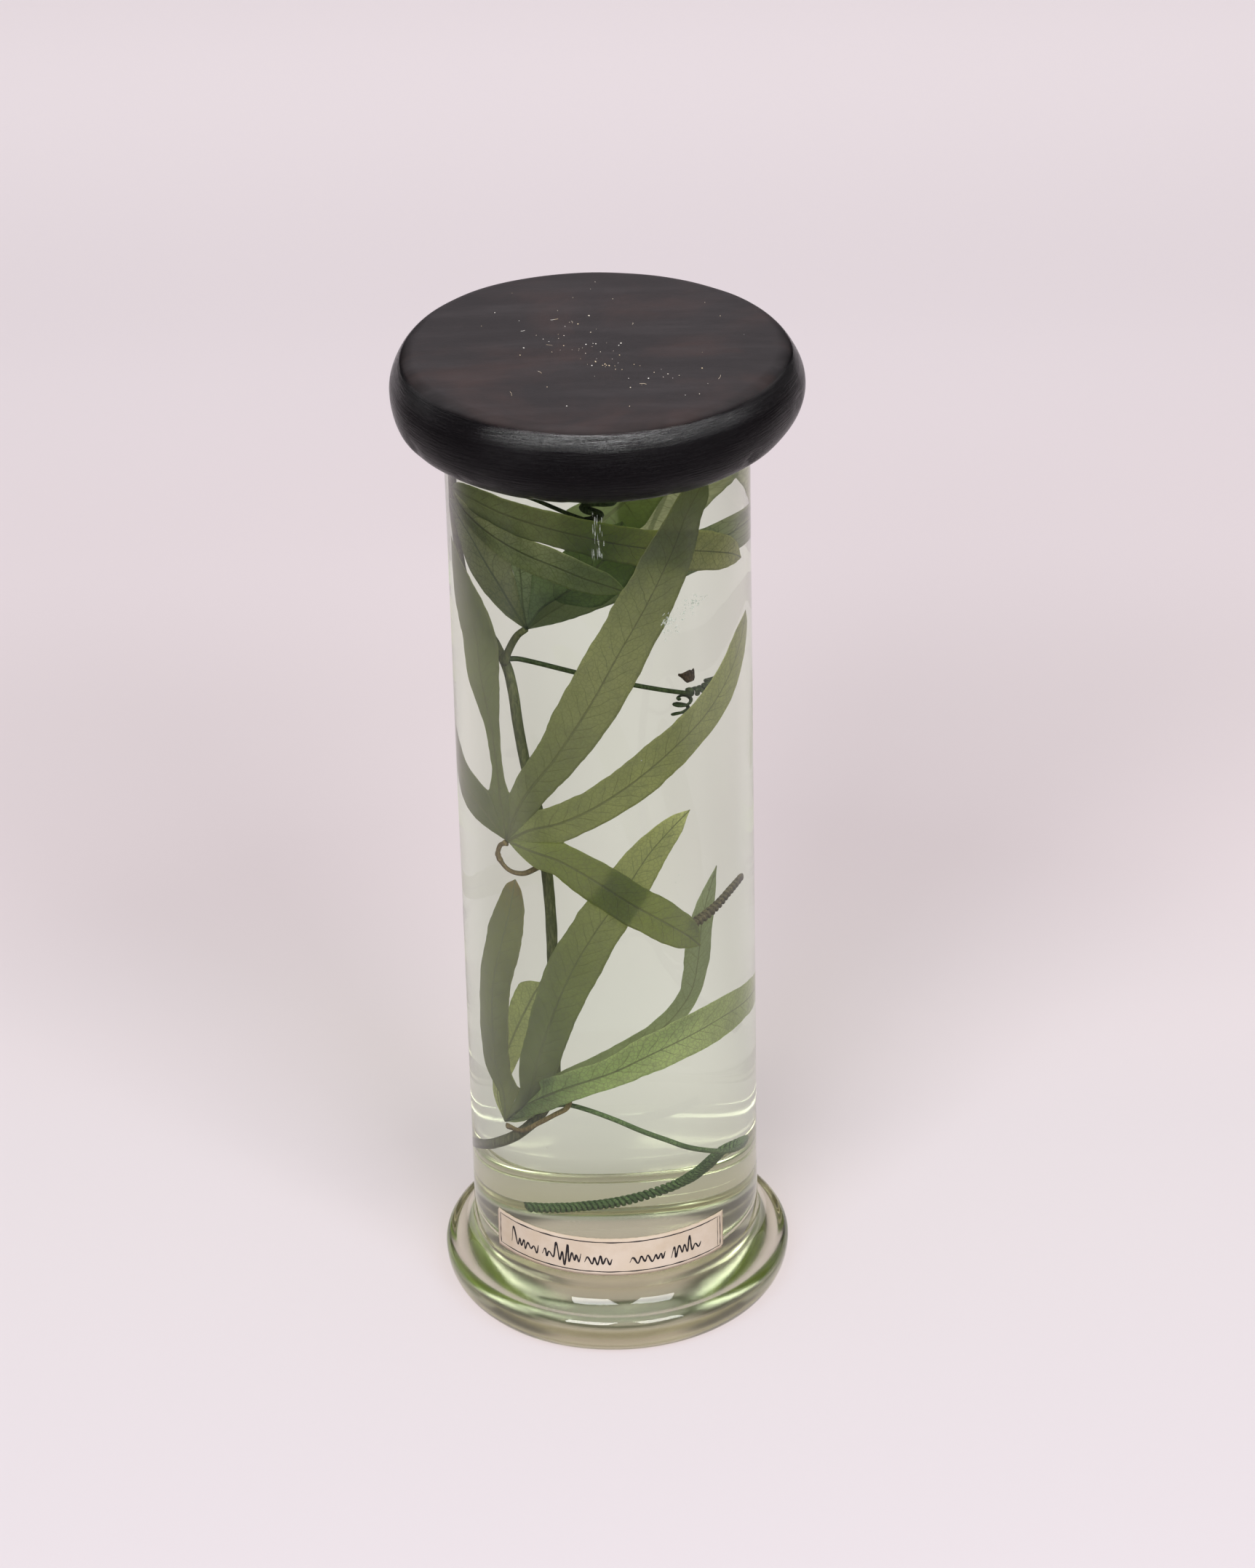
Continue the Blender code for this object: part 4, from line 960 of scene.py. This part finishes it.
def jar_and_fluid():
    def uneven(azimuth, radius, height):
        """Blown glass is a little out of true."""
        a = math.radians(azimuth)
        spot = Vector((math.sin(a) * 1.1, math.cos(a) * 1.1, height * 0.018))
        swing = 0.10 * noise.noise(spot) if 24 < height < RIM - 4 else 0.0
        if height < 16 and radius > WALL:
            swing = 0.25 * noise.noise(Vector((math.sin(a) * 1.6, math.cos(a) * 1.6, 5.0)))
        return radius + swing, height

    edge = FOOT - EDGE_ROUND
    rise = math.sqrt((FILLET + EDGE_ROUND) ** 2 - (WALL + FILLET - edge) ** 2)
    fillet_height = EDGE_HEIGHT + rise
    meeting = math.degrees(math.atan2(rise, WALL + FILLET - edge))
    profile = [(0.0, FLOOR)]
    profile += arc(BORE - 5.0, FLOOR + 5.0, 5.0, -90, 0, 16)
    profile += arc(BORE + 0.5, RIM - 0.5, 0.5, 180, 90, 4)
    profile += arc(WALL - 0.5, RIM - 0.5, 0.5, 90, 0, 4)
    profile += arc(WALL + FILLET, fillet_height, FILLET, 180, 180 + meeting, 18)
    profile += arc(edge, EDGE_HEIGHT, EDGE_ROUND, meeting, 0, 12)[1:]
    profile += arc(FOOT - 5.0, EDGE_HEIGHT, 5.0, 0, -90, 18, rise=EDGE_HEIGHT)[1:]
    profile.append((0.0, 0.0))
    verts, faces = lathe(refined(profile, 6.0), shift=uneven)
    make_piece("vessel_glass", verts, faces, glass_material(), "jar", ("jar_body",),
               "clear_glass")

    reach = BORE - SKIN
    low = FLOOR + SKIN
    corner = 5.0 - SKIN

    def follow(azimuth, radius, height):
        if radius < reach - 0.01:
            return radius, height
        return uneven(azimuth, radius, height)

    profile = [(0.0, LEVEL), (reach * 0.5, LEVEL), (reach - 2.0, LEVEL + 0.03),
               (reach - 0.8, LEVEL + 0.16), (reach, LEVEL + 0.5)]
    profile += arc(reach - corner, low + corner, corner, 0, -90, 16)
    profile.append((0.0, low))
    verts, faces = lathe(refined(profile, 6.0), shift=follow)
    make_piece("spirit_body", verts, faces, fluid_material(), "jar", ("preserving_fluid",),
               "fluid")


# Slow swells and flats of the cap's outline: azimuth, reach in degrees, growth in mm
SWELLS = ((180, 28, -2.1), (150, 24, -1.1), (127, 20, -1.0), (222, 22, -0.7), (85, 14, 0.7),
          (300, 22, 0.45), (255, 20, -0.5))
# Nicks in the cap's side: azimuth, height, reach in degrees, depth in mm
DENTS = ((298, 219.5, 2.6, 0.5), (49, 219.0, 2.4, 0.55), (340, 216.0, 2.0, 0.6),
         (352, 215.4, 1.6, 0.5), (23, 216.6, 2.4, 0.6), (318, 217.5, 1.6, 0.4),
         (8, 222.5, 1.5, 0.25), (75, 224.0, 2.2, 0.35))


def rounded_edge(start, top, low):
    """The cap's edge from its flat top down and under: a quick shoulder, then a slow bulge."""
    turns = ((90, 60, 5.0, 8), (60, 35, 3.0, 6), (35, -25, 12.0, 22), (-25, -90, 8.2, 14))
    points, r, z = [], start, top
    for begin, end, radius, steps in turns:
        for i in range(steps):
            a = math.radians(begin + (end - begin) * i / steps)
            b = math.radians(begin + (end - begin) * (i + 1) / steps)
            r += radius * (math.cos(b) - math.cos(a))
            z += radius * (math.sin(b) - math.sin(a))
            points.append((r, z))
    stretch = (top - low) / (top - points[-1][1])
    return [(r, top - (top - z) * stretch) for r, z in points]


def closure():
    pitch = pitch_material()
    ring_low, ring_high = bottom_of("rim_seal_ring"), top_of("rim_seal_ring")

    def squeezed(azimuth, radius, height):
        a = math.radians(azimuth)
        return radius + 0.22 * noise.noise(Vector((math.sin(a) * 6, math.cos(a) * 6, radius))), height

    verts, faces = lathe(refined([(30.9, ring_low), (30.9, ring_high), (32.1, ring_high),
                                  (32.1, ring_low)], 0.5), True, shift=squeezed)
    make_piece("rim_cement_ring", verts, faces, cement_material(), "jar", ("rim_seal_ring",),
               "pale_cement")

    bevel = 0.5
    profile = [(0.0, PLATE_HIGH), (29.8, PLATE_HIGH)]
    profile += arc(PLATE_REACH - bevel, PLATE_HIGH - bevel, bevel, 90, 0, 4)
    profile += arc(PLATE_REACH - bevel, PLATE_LOW + bevel, bevel, 0, -90, 4)
    profile += [(29.8, PLATE_LOW), (0.0, PLATE_LOW)]
    verts, faces = lathe(refined(profile, 4.0))
    make_piece("cover_glass", verts, faces, plate_material(), "cover", ("cover_plate",),
               "plate_glass")

    def hand_formed(azimuth, radius, height):
        """The pitch is laid on by hand: a slow swell round the rim and flat spots."""
        a = math.radians(azimuth)
        if radius < PLATE_REACH + 0.5 and height < PLATE_HIGH + 1.0:
            return radius, height
        share = min(max((radius - 20) / 23, 0.0), 1.0) ** 2
        slow = noise.noise(Vector((math.sin(a) * 1.2, math.cos(a) * 1.2, 3.0)))
        quick = noise.noise(Vector((math.sin(a) * 4.5, math.cos(a) * 4.5, height * 0.12)))
        side = share * (0.22 * slow + 0.22 * quick)
        for where, reach, growth in SWELLS:
            off = (azimuth - where + 180) % 360 - 180
            side += share * growth * math.exp(-(off / reach) ** 2)
        for where, level, reach, deep in DENTS:
            off = math.hypot((azimuth - where + 180) % 360 - 180, (height - level) * 1.4)
            side -= deep * math.exp(-(off / reach) ** 2) if radius > 34 else 0.0
        lift = 0.20 * noise.noise(Vector((math.sin(a) * radius * 0.05,
                                          math.cos(a) * radius * 0.05, 9.0)))
        lift += 0.25 * share * slow if height < (CAP_LOW + CAP_HIGH) / 2 else 0.0
        return radius + side, height + lift

    flat = CAP_REACH - 5.9
    bore = PLATE_REACH + 0.35
    bore_top = PLATE_HIGH + 0.3
    profile = [(0.0, CAP_HIGH)]
    profile += [(flat * i / 12, CAP_HIGH - 0.6 * (i / 12) ** 2) for i in range(1, 13)]
    profile += rounded_edge(flat, CAP_HIGH - 0.6, CAP_LOW)
    profile += [(bore, CAP_LOW + 0.3), (bore, bore_top), (0.0, bore_top)]
    verts, faces = lathe(refined(profile, 2.5), shift=hand_formed)
    make_piece("pitch_cap", verts, faces, pitch, "cap", ("seal_cap",), "black_pitch")

    bead_low, bead_high = bottom_of("neck_seal_bead"), top_of("neck_seal_bead")

    def ragged(azimuth, radius, height):
        a = math.radians(azimuth)
        wave = noise.noise(Vector((math.sin(a) * 5, math.cos(a) * 5, 1.0)))
        return radius, height + (0.35 * wave if height < bead_low + 0.1 else 0.0)

    verts, faces = lathe(refined([(WALL + 0.2, bead_low), (WALL + 0.2, bead_high),
                                  (33.2, bead_high), (33.5, bead_high - 0.6),
                                  (33.5, bead_low + 0.4), (33.2, bead_low)], 0.8), True,
                         shift=ragged)
    make_piece("neck_pitch_bead", verts, faces, pitch, "jar", ("neck_seal_bead",),
               "black_pitch")
    cap_dust()


def cap_dust():
    """White specks and short fibres lying on the cap."""
    spots = random.Random(21)
    parts = []
    for i in range(90):
        if i < 62:
            along = spots.gauss(0.0, 1.0)
            x, y = 1 + 10 * along + spots.gauss(0, 4), -5 - 12 * along + spots.gauss(0, 4)
        else:
            x, y = spots.uniform(-32, 32), spots.uniform(-32, 32)
        if math.hypot(x, y) > 35:
            continue
        size = spots.choice((0.06, 0.08, 0.10, 0.12, 0.16))
        height = CAP_HIGH - 0.5 * (math.hypot(x, y) / 35.6) ** 2 + 0.06
        shape = bmesh.new()
        bmesh.ops.create_icosphere(shape, subdivisions=1, radius=size * MM)
        stretch = spots.uniform(1.0, 1.6)
        turn = Matrix.Rotation(spots.uniform(0, math.pi), 3, "Z")
        verts = []
        for v in shape.verts:
            p = Vector((v.co.x * stretch, v.co.y, v.co.z * 0.7)) * spots.uniform(0.8, 1.2)
            verts.append(turn @ p + Vector((x, y, height)) * MM)
        faces = [tuple(v.index for v in face.verts) for face in shape.faces]
        shape.free()
        parts.append((verts, faces))
    for i in range(9):
        x, y = spots.uniform(-24, 26), spots.uniform(-26, 20)
        heading = spots.uniform(0, math.pi)
        length = spots.uniform(0.8, 2.2)
        height = CAP_HIGH - 0.5 * (math.hypot(x, y) / 35.6) ** 2 + 0.08
        path = []
        for k in range(9):
            t = k / 8 - 0.5
            bend = spots.uniform(-0.04, 0.04) + 0.5 * t * t
            path.append(Vector((x + length * t * math.cos(heading) - bend * math.sin(heading),
                                y + length * t * math.sin(heading) + bend * math.cos(heading),
                                height)) * MM)
        parts.append(swept(path, [0.035 * MM] * 9, 5))
    make_piece("cap_dust", *joined(parts), dust_material(), "cap", (), "black_pitch")


# ---------------------------------------------------------------- label

LABEL_GAP = 0.06


def ribbon(points, widths, azimuth_of, lift):
    """A flat pen stroke on the glass: points are (mm along the label, mm up)."""
    verts, faces = [], []
    for i, (x, y) in enumerate(points):
        a = points[max(i - 1, 0)]
        b = points[min(i + 1, len(points) - 1)]
        dx, dy = b[0] - a[0], b[1] - a[1]
        size = math.hypot(dx, dy) or 1.0
        nx, ny = -dy / size * widths[i] / 2, dx / size * widths[i] / 2
        verts.append(azimuth_of(x + nx, y + ny, lift))
        verts.append(azimuth_of(x - nx, y - ny, lift))
    for i in range(len(points) - 1):
        a = 2 * i
        faces.append((a, a + 1, a + 3, a + 2))
    return verts, faces


def label():
    low, high = bottom_of("label_paper"), top_of("label_paper")
    start, end = -55.0, 47.0
    radius = WALL + 0.12
    per_degree = math.radians(1.0) * radius
    width = (end - start) * per_degree
    height = high - low

    def on_glass(x, y, lift):
        return around(start + x / per_degree, low + y, radius + lift)

    columns, rows = 120, 14
    verts, faces, sheet = [], [], []
    for layer in (0, 1):
        for i in range(columns + 1):
            for j in range(rows + 1):
                x, y = width * i / columns, height * j / rows
                rough = 0.09 * noise.noise(Vector((x * 0.8, y * 0.8, 3.0)))
                if j in (0, rows):
                    y += rough + 0.05 * noise.noise(Vector((x * 3.0, j, 0.5)))
                if i in (0, columns):
                    x += rough + 0.05 * noise.noise(Vector((y * 3.0, i, 0.5)))
                if i == 0 and j == rows:
                    x, y = x + 0.3, y - 0.3
                if i == columns and j == 0:
                    x, y = x - 0.5, y + 0.35
                lift = 0.0 if layer == 0 else 0.10
                edge = min(x, width - x, y, height - y)
                verts.append(on_glass(x, y, lift))
                sheet.append((x, y, max(edge, 0.0)))
    layer_size = (columns + 1) * (rows + 1)
    for i in range(columns):
        for j in range(rows):
            a = i * (rows + 1) + j
            b = a + rows + 1
            faces.append((a, a + 1, b + 1, b))
            faces.append((layer_size + a, layer_size + b, layer_size + b + 1,
                          layer_size + a + 1))
    rim = [i * (rows + 1) for i in range(columns + 1)]
    rim += [columns * (rows + 1) + j for j in range(1, rows + 1)]
    rim += [i * (rows + 1) + rows for i in range(columns - 1, -1, -1)]
    rim += [j for j in range(rows - 1, 0, -1)]
    for a, b in zip(rim, rim[1:] + rim[:1]):
        faces.append((a, b, layer_size + b, layer_size + a))
    make_piece("paper_label", verts, faces, paper_material(), "jar", ("label_paper",),
               "label_paper", {"sheet": ("FLOAT_VECTOR", sheet)})
    pen_strokes(width, height, on_glass)


def pen_strokes(width, height, on_glass):
    """The ink border and two runs of looping pen marks that spell nothing."""
    parts = []
    lift = 0.13

    def line(points, thick, seed, samples=80):
        spots, widths = [], []
        for i in range(samples + 1):
            t = i / samples
            place = catmull([Vector((*p, 0.0)) for p in points], t)
            shake = noise.noise_vector(Vector((i * 0.11, seed, 0.3))) * 0.05
            spots.append((place.x + shake.x, place.y + shake.y))
            press = 0.75 + 0.5 * noise.noise(Vector((i * 0.09, seed, 5.0)))
            taper = min(1.0, 8 * t + 0.35, 8 * (1 - t) + 0.35)
            widths.append(thick * press * taper)
        parts.append(ribbon(spots, widths, on_glass, lift))

    inset = 1.0
    line([(inset, inset + 0.1), (width * 0.35, inset), (width * 0.7, inset + 0.05),
          (width - inset, inset)], 0.34, 1.0, 240)
    line([(inset, height - inset), (width * 0.4, height - inset - 0.05),
          (width * 0.75, height - inset), (width - inset - 0.4, height - inset)], 0.34, 2.0, 240)
    line([(inset, inset - 0.1), (inset - 0.05, height * 0.5), (inset, height - inset)],
         0.30, 3.0, 60)
    line([(width - inset, inset), (width - inset + 0.05, height * 0.5),
          (width - inset, height - inset)], 0.28, 4.0, 60)
    line([(width - inset - 0.8, inset + 0.1), (width - inset - 0.75, height - inset)],
         0.16, 5.0, 60)

    def scribble(start, end, seed, tall):
        """An uneven zigzag pen line that spells nothing, with a few long strokes."""
        rng = random.Random(seed)
        x, points, number = start, [], 0
        while x < end:
            high = 4.4 if number in tall else rng.uniform(1.5, 2.6)
            deep = -1.2 if number in tall[1:2] else rng.uniform(-0.2, 0.6)
            points += [(x, 3.0 + deep), (x + rng.uniform(0.5, 0.9), 3.0 + high)]
            x += rng.uniform(1.0, 1.9)
            number += 1
        line(points, 0.50, seed, 24 * number)

    scribble(4.8, 12.4, 11, (0,))
    scribble(13.6, 22.6, 12, (2, 4))
    scribble(23.8, 30.0, 13, ())
    scribble(34.0, 42.5, 14, ())
    scribble(43.6, 51.0, 15, (3,))
    make_piece("label_ink", *joined(parts), ink_material(), "jar", (), "label_paper")


def residue():
    """Small flakes and drip marks of dried film on the outside of the glass."""
    rng = random.Random(5)
    verts, faces = [], []

    def flake(azimuth, height, wide, tall, lean):
        base = len(verts)
        count = 9
        verts.append(around(azimuth, height, WALL + 0.09))
        for k in range(count):
            angle = 2 * math.pi * k / count
            reach = rng.uniform(0.45, 1.0)
            x = wide * reach * math.cos(angle) + lean * tall * math.sin(angle)
            y = tall * reach * math.sin(angle)
            verts.append(around(azimuth + math.degrees(x / WALL), height + y, WALL + 0.09))
        faces.extend((base, base + 1 + k, base + 1 + (k + 1) % count) for k in range(count))

    for i in range(46):
        flake(rng.gauss(35.5, 3.0), rng.gauss(184.8, 1.3), rng.uniform(0.1, 0.5),
              rng.uniform(0.1, 0.45), rng.uniform(-1.0, 1.0))
    for i in range(26):
        flake(rng.gauss(25.5, 1.6), rng.gauss(182.0, 2.0), rng.uniform(0.1, 0.5),
              rng.uniform(0.15, 0.7), rng.uniform(-0.8, 0.8))
    for i in range(30):
        flake(rng.gauss(-0.5, 1.3), rng.uniform(199.5, 210.0), rng.uniform(0.05, 0.16),
              rng.uniform(0.5, 1.8), 0.0)
    for i in range(18):
        flake(rng.uniform(-60, 60), rng.uniform(40, 205), rng.uniform(0.08, 0.2),
              rng.uniform(0.08, 0.2), 0.0)
    make_piece("glass_residue", verts, faces, residue_material(), "jar", (), "clear_glass")


# ---------------------------------------------------------------- studio

WORLD_TONE = (1.0, 0.97, 0.985)
WORLD_LIGHT = 0.44
# Floor colour at each y in metres: painted light and shade, lighter towards the back with a slight
# dip near 0.26 m.
FLOOR_PAINTED_LIGHT = ((-0.111, (0.640, 0.593, 0.620)), (0.045, (0.660, 0.612, 0.632)),
               (0.110, (0.683, 0.626, 0.644)), (0.190, (0.700, 0.630, 0.650)),
               (0.260, (0.695, 0.627, 0.645)), (0.367, (0.735, 0.665, 0.690)),
               (0.508, (0.770, 0.704, 0.732)), (0.774, (0.900, 0.830, 0.858)))


def camera_plan(n, vector):
    """Parts of a vector along the level view direction, towards the camera, and sideways."""
    turn = n.tree.nodes.new("ShaderNodeVectorTransform")
    turn.vector_type = "VECTOR"
    turn.convert_from = "CAMERA"
    turn.convert_to = "WORLD"
    turn.inputs[0].default_value = (0.0, 0.0, 1.0)
    ax, ay, az = n.axis(turn.outputs[0])
    size = n.maths("SQRT", n.maths("ADD", n.maths("MULTIPLY", ax, ax),
                                   n.maths("MULTIPLY", ay, ay)))
    size = n.maths("MAXIMUM", size, 0.05)
    x, y, z = n.axis(vector)
    towards = n.maths("DIVIDE", n.maths("ADD", n.maths("MULTIPLY", x, ax),
                                        n.maths("MULTIPLY", y, ay)), size)
    sideways = n.maths("DIVIDE", n.maths("SUBTRACT", n.maths("MULTIPLY", x, ay),
                                         n.maths("MULTIPLY", y, ax)), size)
    return n.maths("MULTIPLY", towards, -1.0), n.maths("ABSOLUTE", sideways)


def bent_rays(n):
    """1 for rays that come by way of a reflection or through glass."""
    path = n.add("LightPath")
    return n.maths("MAXIMUM", path.outputs["Is Glossy Ray"],
                   path.outputs["Is Transmission Ray"])


def floor_material():
    """Pale paper, with painted light and shade along y. Reflections and the glass see it end a little
    way in front and beside.
    """
    n = Nodes("studio_paper")
    spot = n.add("NewGeometry").outputs["Position"]
    x, y, z = n.axis(spot)
    band = n.add("ValToRGB")
    ramp = band.color_ramp
    ramp.interpolation = "EASE"
    low, high = FLOOR_PAINTED_LIGHT[0][0], FLOOR_PAINTED_LIGHT[-1][0]
    while len(ramp.elements) < len(FLOOR_PAINTED_LIGHT):
        ramp.elements.new(0.5)
    for element, (place, tone) in zip(ramp.elements, FLOOR_PAINTED_LIGHT):
        element.position = (place - low) / (high - low)
        element.color = (*tone, 1.0)
    n.put(band, "Fac", n.ramp(y, low, high, smooth=False))
    grain = n.noise(900.0, 3.0, 0.6)
    tone = n.mix(n.maths("MULTIPLY", grain, 0.04), band.outputs["Color"], (0.6, 0.55, 0.56))
    front, beside = camera_plan(n, spot)
    path = n.add("LightPath")
    mirrored = n.maths("MAXIMUM", n.ramp(front, 0.08, 0.20), n.ramp(beside, 0.30, 0.45))
    mirrored = n.maths("MULTIPLY", mirrored, n.maths(
        "SUBTRACT", path.outputs["Is Glossy Ray"], path.outputs["Is Transmission Ray"], clamp=True))
    tone = n.mix(mirrored, tone, (0.015, 0.014, 0.015))
    through = n.maths("MAXIMUM", n.ramp(front, 0.30, 0.60), n.ramp(beside, 0.50, 0.90))
    through = n.maths("MULTIPLY", through, path.outputs["Is Transmission Ray"])
    tone = n.mix(through, tone, (0.20, 0.19, 0.19))
    paper = n.add("BsdfDiffuse", Roughness=0.5)
    n.put(paper, "Color", tone)
    return n.finish(paper.outputs[0])


def make_world():
    """Even pale light, but a dark room in reflections and in the glass unless far ahead."""
    world = bpy.data.worlds.new("studio")
    world.use_nodes = True
    n = Nodes.__new__(Nodes)
    n.tree = world.node_tree
    n.tree.nodes.clear()
    shade = n.add("Background")
    front, beside = camera_plan(n, n.add("TexCoord").outputs["Generated"])
    dark = n.maths("MULTIPLY", n.ramp(front, -0.45, -0.25), bent_rays(n))
    room = n.mix(n.add("LightPath").outputs["Is Transmission Ray"], (0.02, 0.019, 0.02),
                 (0.42, 0.40, 0.40))
    n.put(shade, "Color", n.mix(dark, WORLD_TONE, room))
    n.put(shade, "Strength", WORLD_LIGHT)
    out = n.tree.nodes.new("ShaderNodeOutputWorld")
    n.tree.links.new(shade.outputs[0], out.inputs["Surface"])
    world.cycles.sampling_method = "NONE"
    bpy.context.scene.world = world


def studio():
    mesh = bpy.data.meshes.new("sweep")
    rows = [(-1.6, 0.0), (-0.6, 0.0), (0.0, 0.0), (0.6, 0.0), (1.3, 0.0)]
    rows += [(1.3 + 0.7 * math.sin(math.radians(a)), 0.7 - 0.7 * math.cos(math.radians(a)))
             for a in range(6, 91, 6)]
    rows.append((2.0, 2.2))
    verts, faces = [], []
    for y, z in rows:
        verts += [(-2.2, y, z - 0.0002), (2.2, y, z - 0.0002)]
    for i in range(len(rows) - 1):
        faces.append((2 * i, 2 * i + 1, 2 * i + 3, 2 * i + 2))
    mesh.from_pydata(verts, [], faces)
    mesh.shade_smooth()
    mesh.materials.append(floor_material())
    sweep = bpy.data.objects.new("sweep", mesh)
    bpy.context.scene.collection.objects.link(sweep)

    make_world()
    soft_light("softbox_left", -22, 46, 1.5, 0.62, 0.62, 13.5)
    soft_light("softbox_right", 31, 46, 1.5, 0.62, 0.62, 11.5)


def soft_light(name, azimuth, elevation, distance, width, height, power):
    data = bpy.data.lights.new(name, "AREA")
    data.shape = "RECTANGLE"
    data.size = width
    data.size_y = height
    data.energy = power
    lamp = bpy.data.objects.new(name, data)
    a, e = math.radians(azimuth), math.radians(elevation)
    way = Vector((math.sin(a) * math.cos(e), -math.cos(a) * math.cos(e), math.sin(e)))
    lamp.location = way * distance + Vector((0, 0, 0.1))
    lamp.rotation_euler = (-way).to_track_quat("-Z", "Y").to_euler()
    bpy.context.scene.collection.objects.link(lamp)
    return lamp


def camera():
    """A long lens that looks down on the jar from the front."""
    data = bpy.data.cameras.new("camera")
    data.sensor_width = 36.0
    data.sensor_fit = "AUTO"
    data.lens = 36.0 * 7082.56 / 2156
    data.clip_start = 0.01
    data.clip_end = 20.0
    view = bpy.data.objects.new("camera", data)
    yaw, down, roll = 0.0049, 0.5193, -0.0231
    ahead = Vector((math.sin(yaw) * math.cos(down), math.cos(yaw) * math.cos(down),
                    -math.sin(down)))
    right = ahead.cross(Vector((0, 0, 1))).normalized()
    up = right.cross(ahead)
    side = right * math.cos(roll) + up * math.sin(roll)
    top = up * math.cos(roll) - right * math.sin(roll)
    turn = Matrix((side, top, -ahead)).transposed()
    view.matrix_world = Matrix.Translation((0.0, -0.98281, 0.68863)) @ turn.to_4x4()
    bpy.context.scene.collection.objects.link(view)
    bpy.context.scene.camera = view


def render_settings():
    scene = bpy.context.scene
    scene.view_settings.view_transform = "Standard"
    scene.cycles.max_bounces = 24
    scene.cycles.transmission_bounces = 24
    scene.cycles.glossy_bounces = 8
    scene.cycles.diffuse_bounces = 6
    scene.cycles.transparent_max_bounces = 48
    scene.cycles.sample_clamp_indirect = 6.0


jar_and_fluid()
closure()
label()
residue()
all_leaves()
stems_and_tendrils()
studio()
camera()
render_settings()
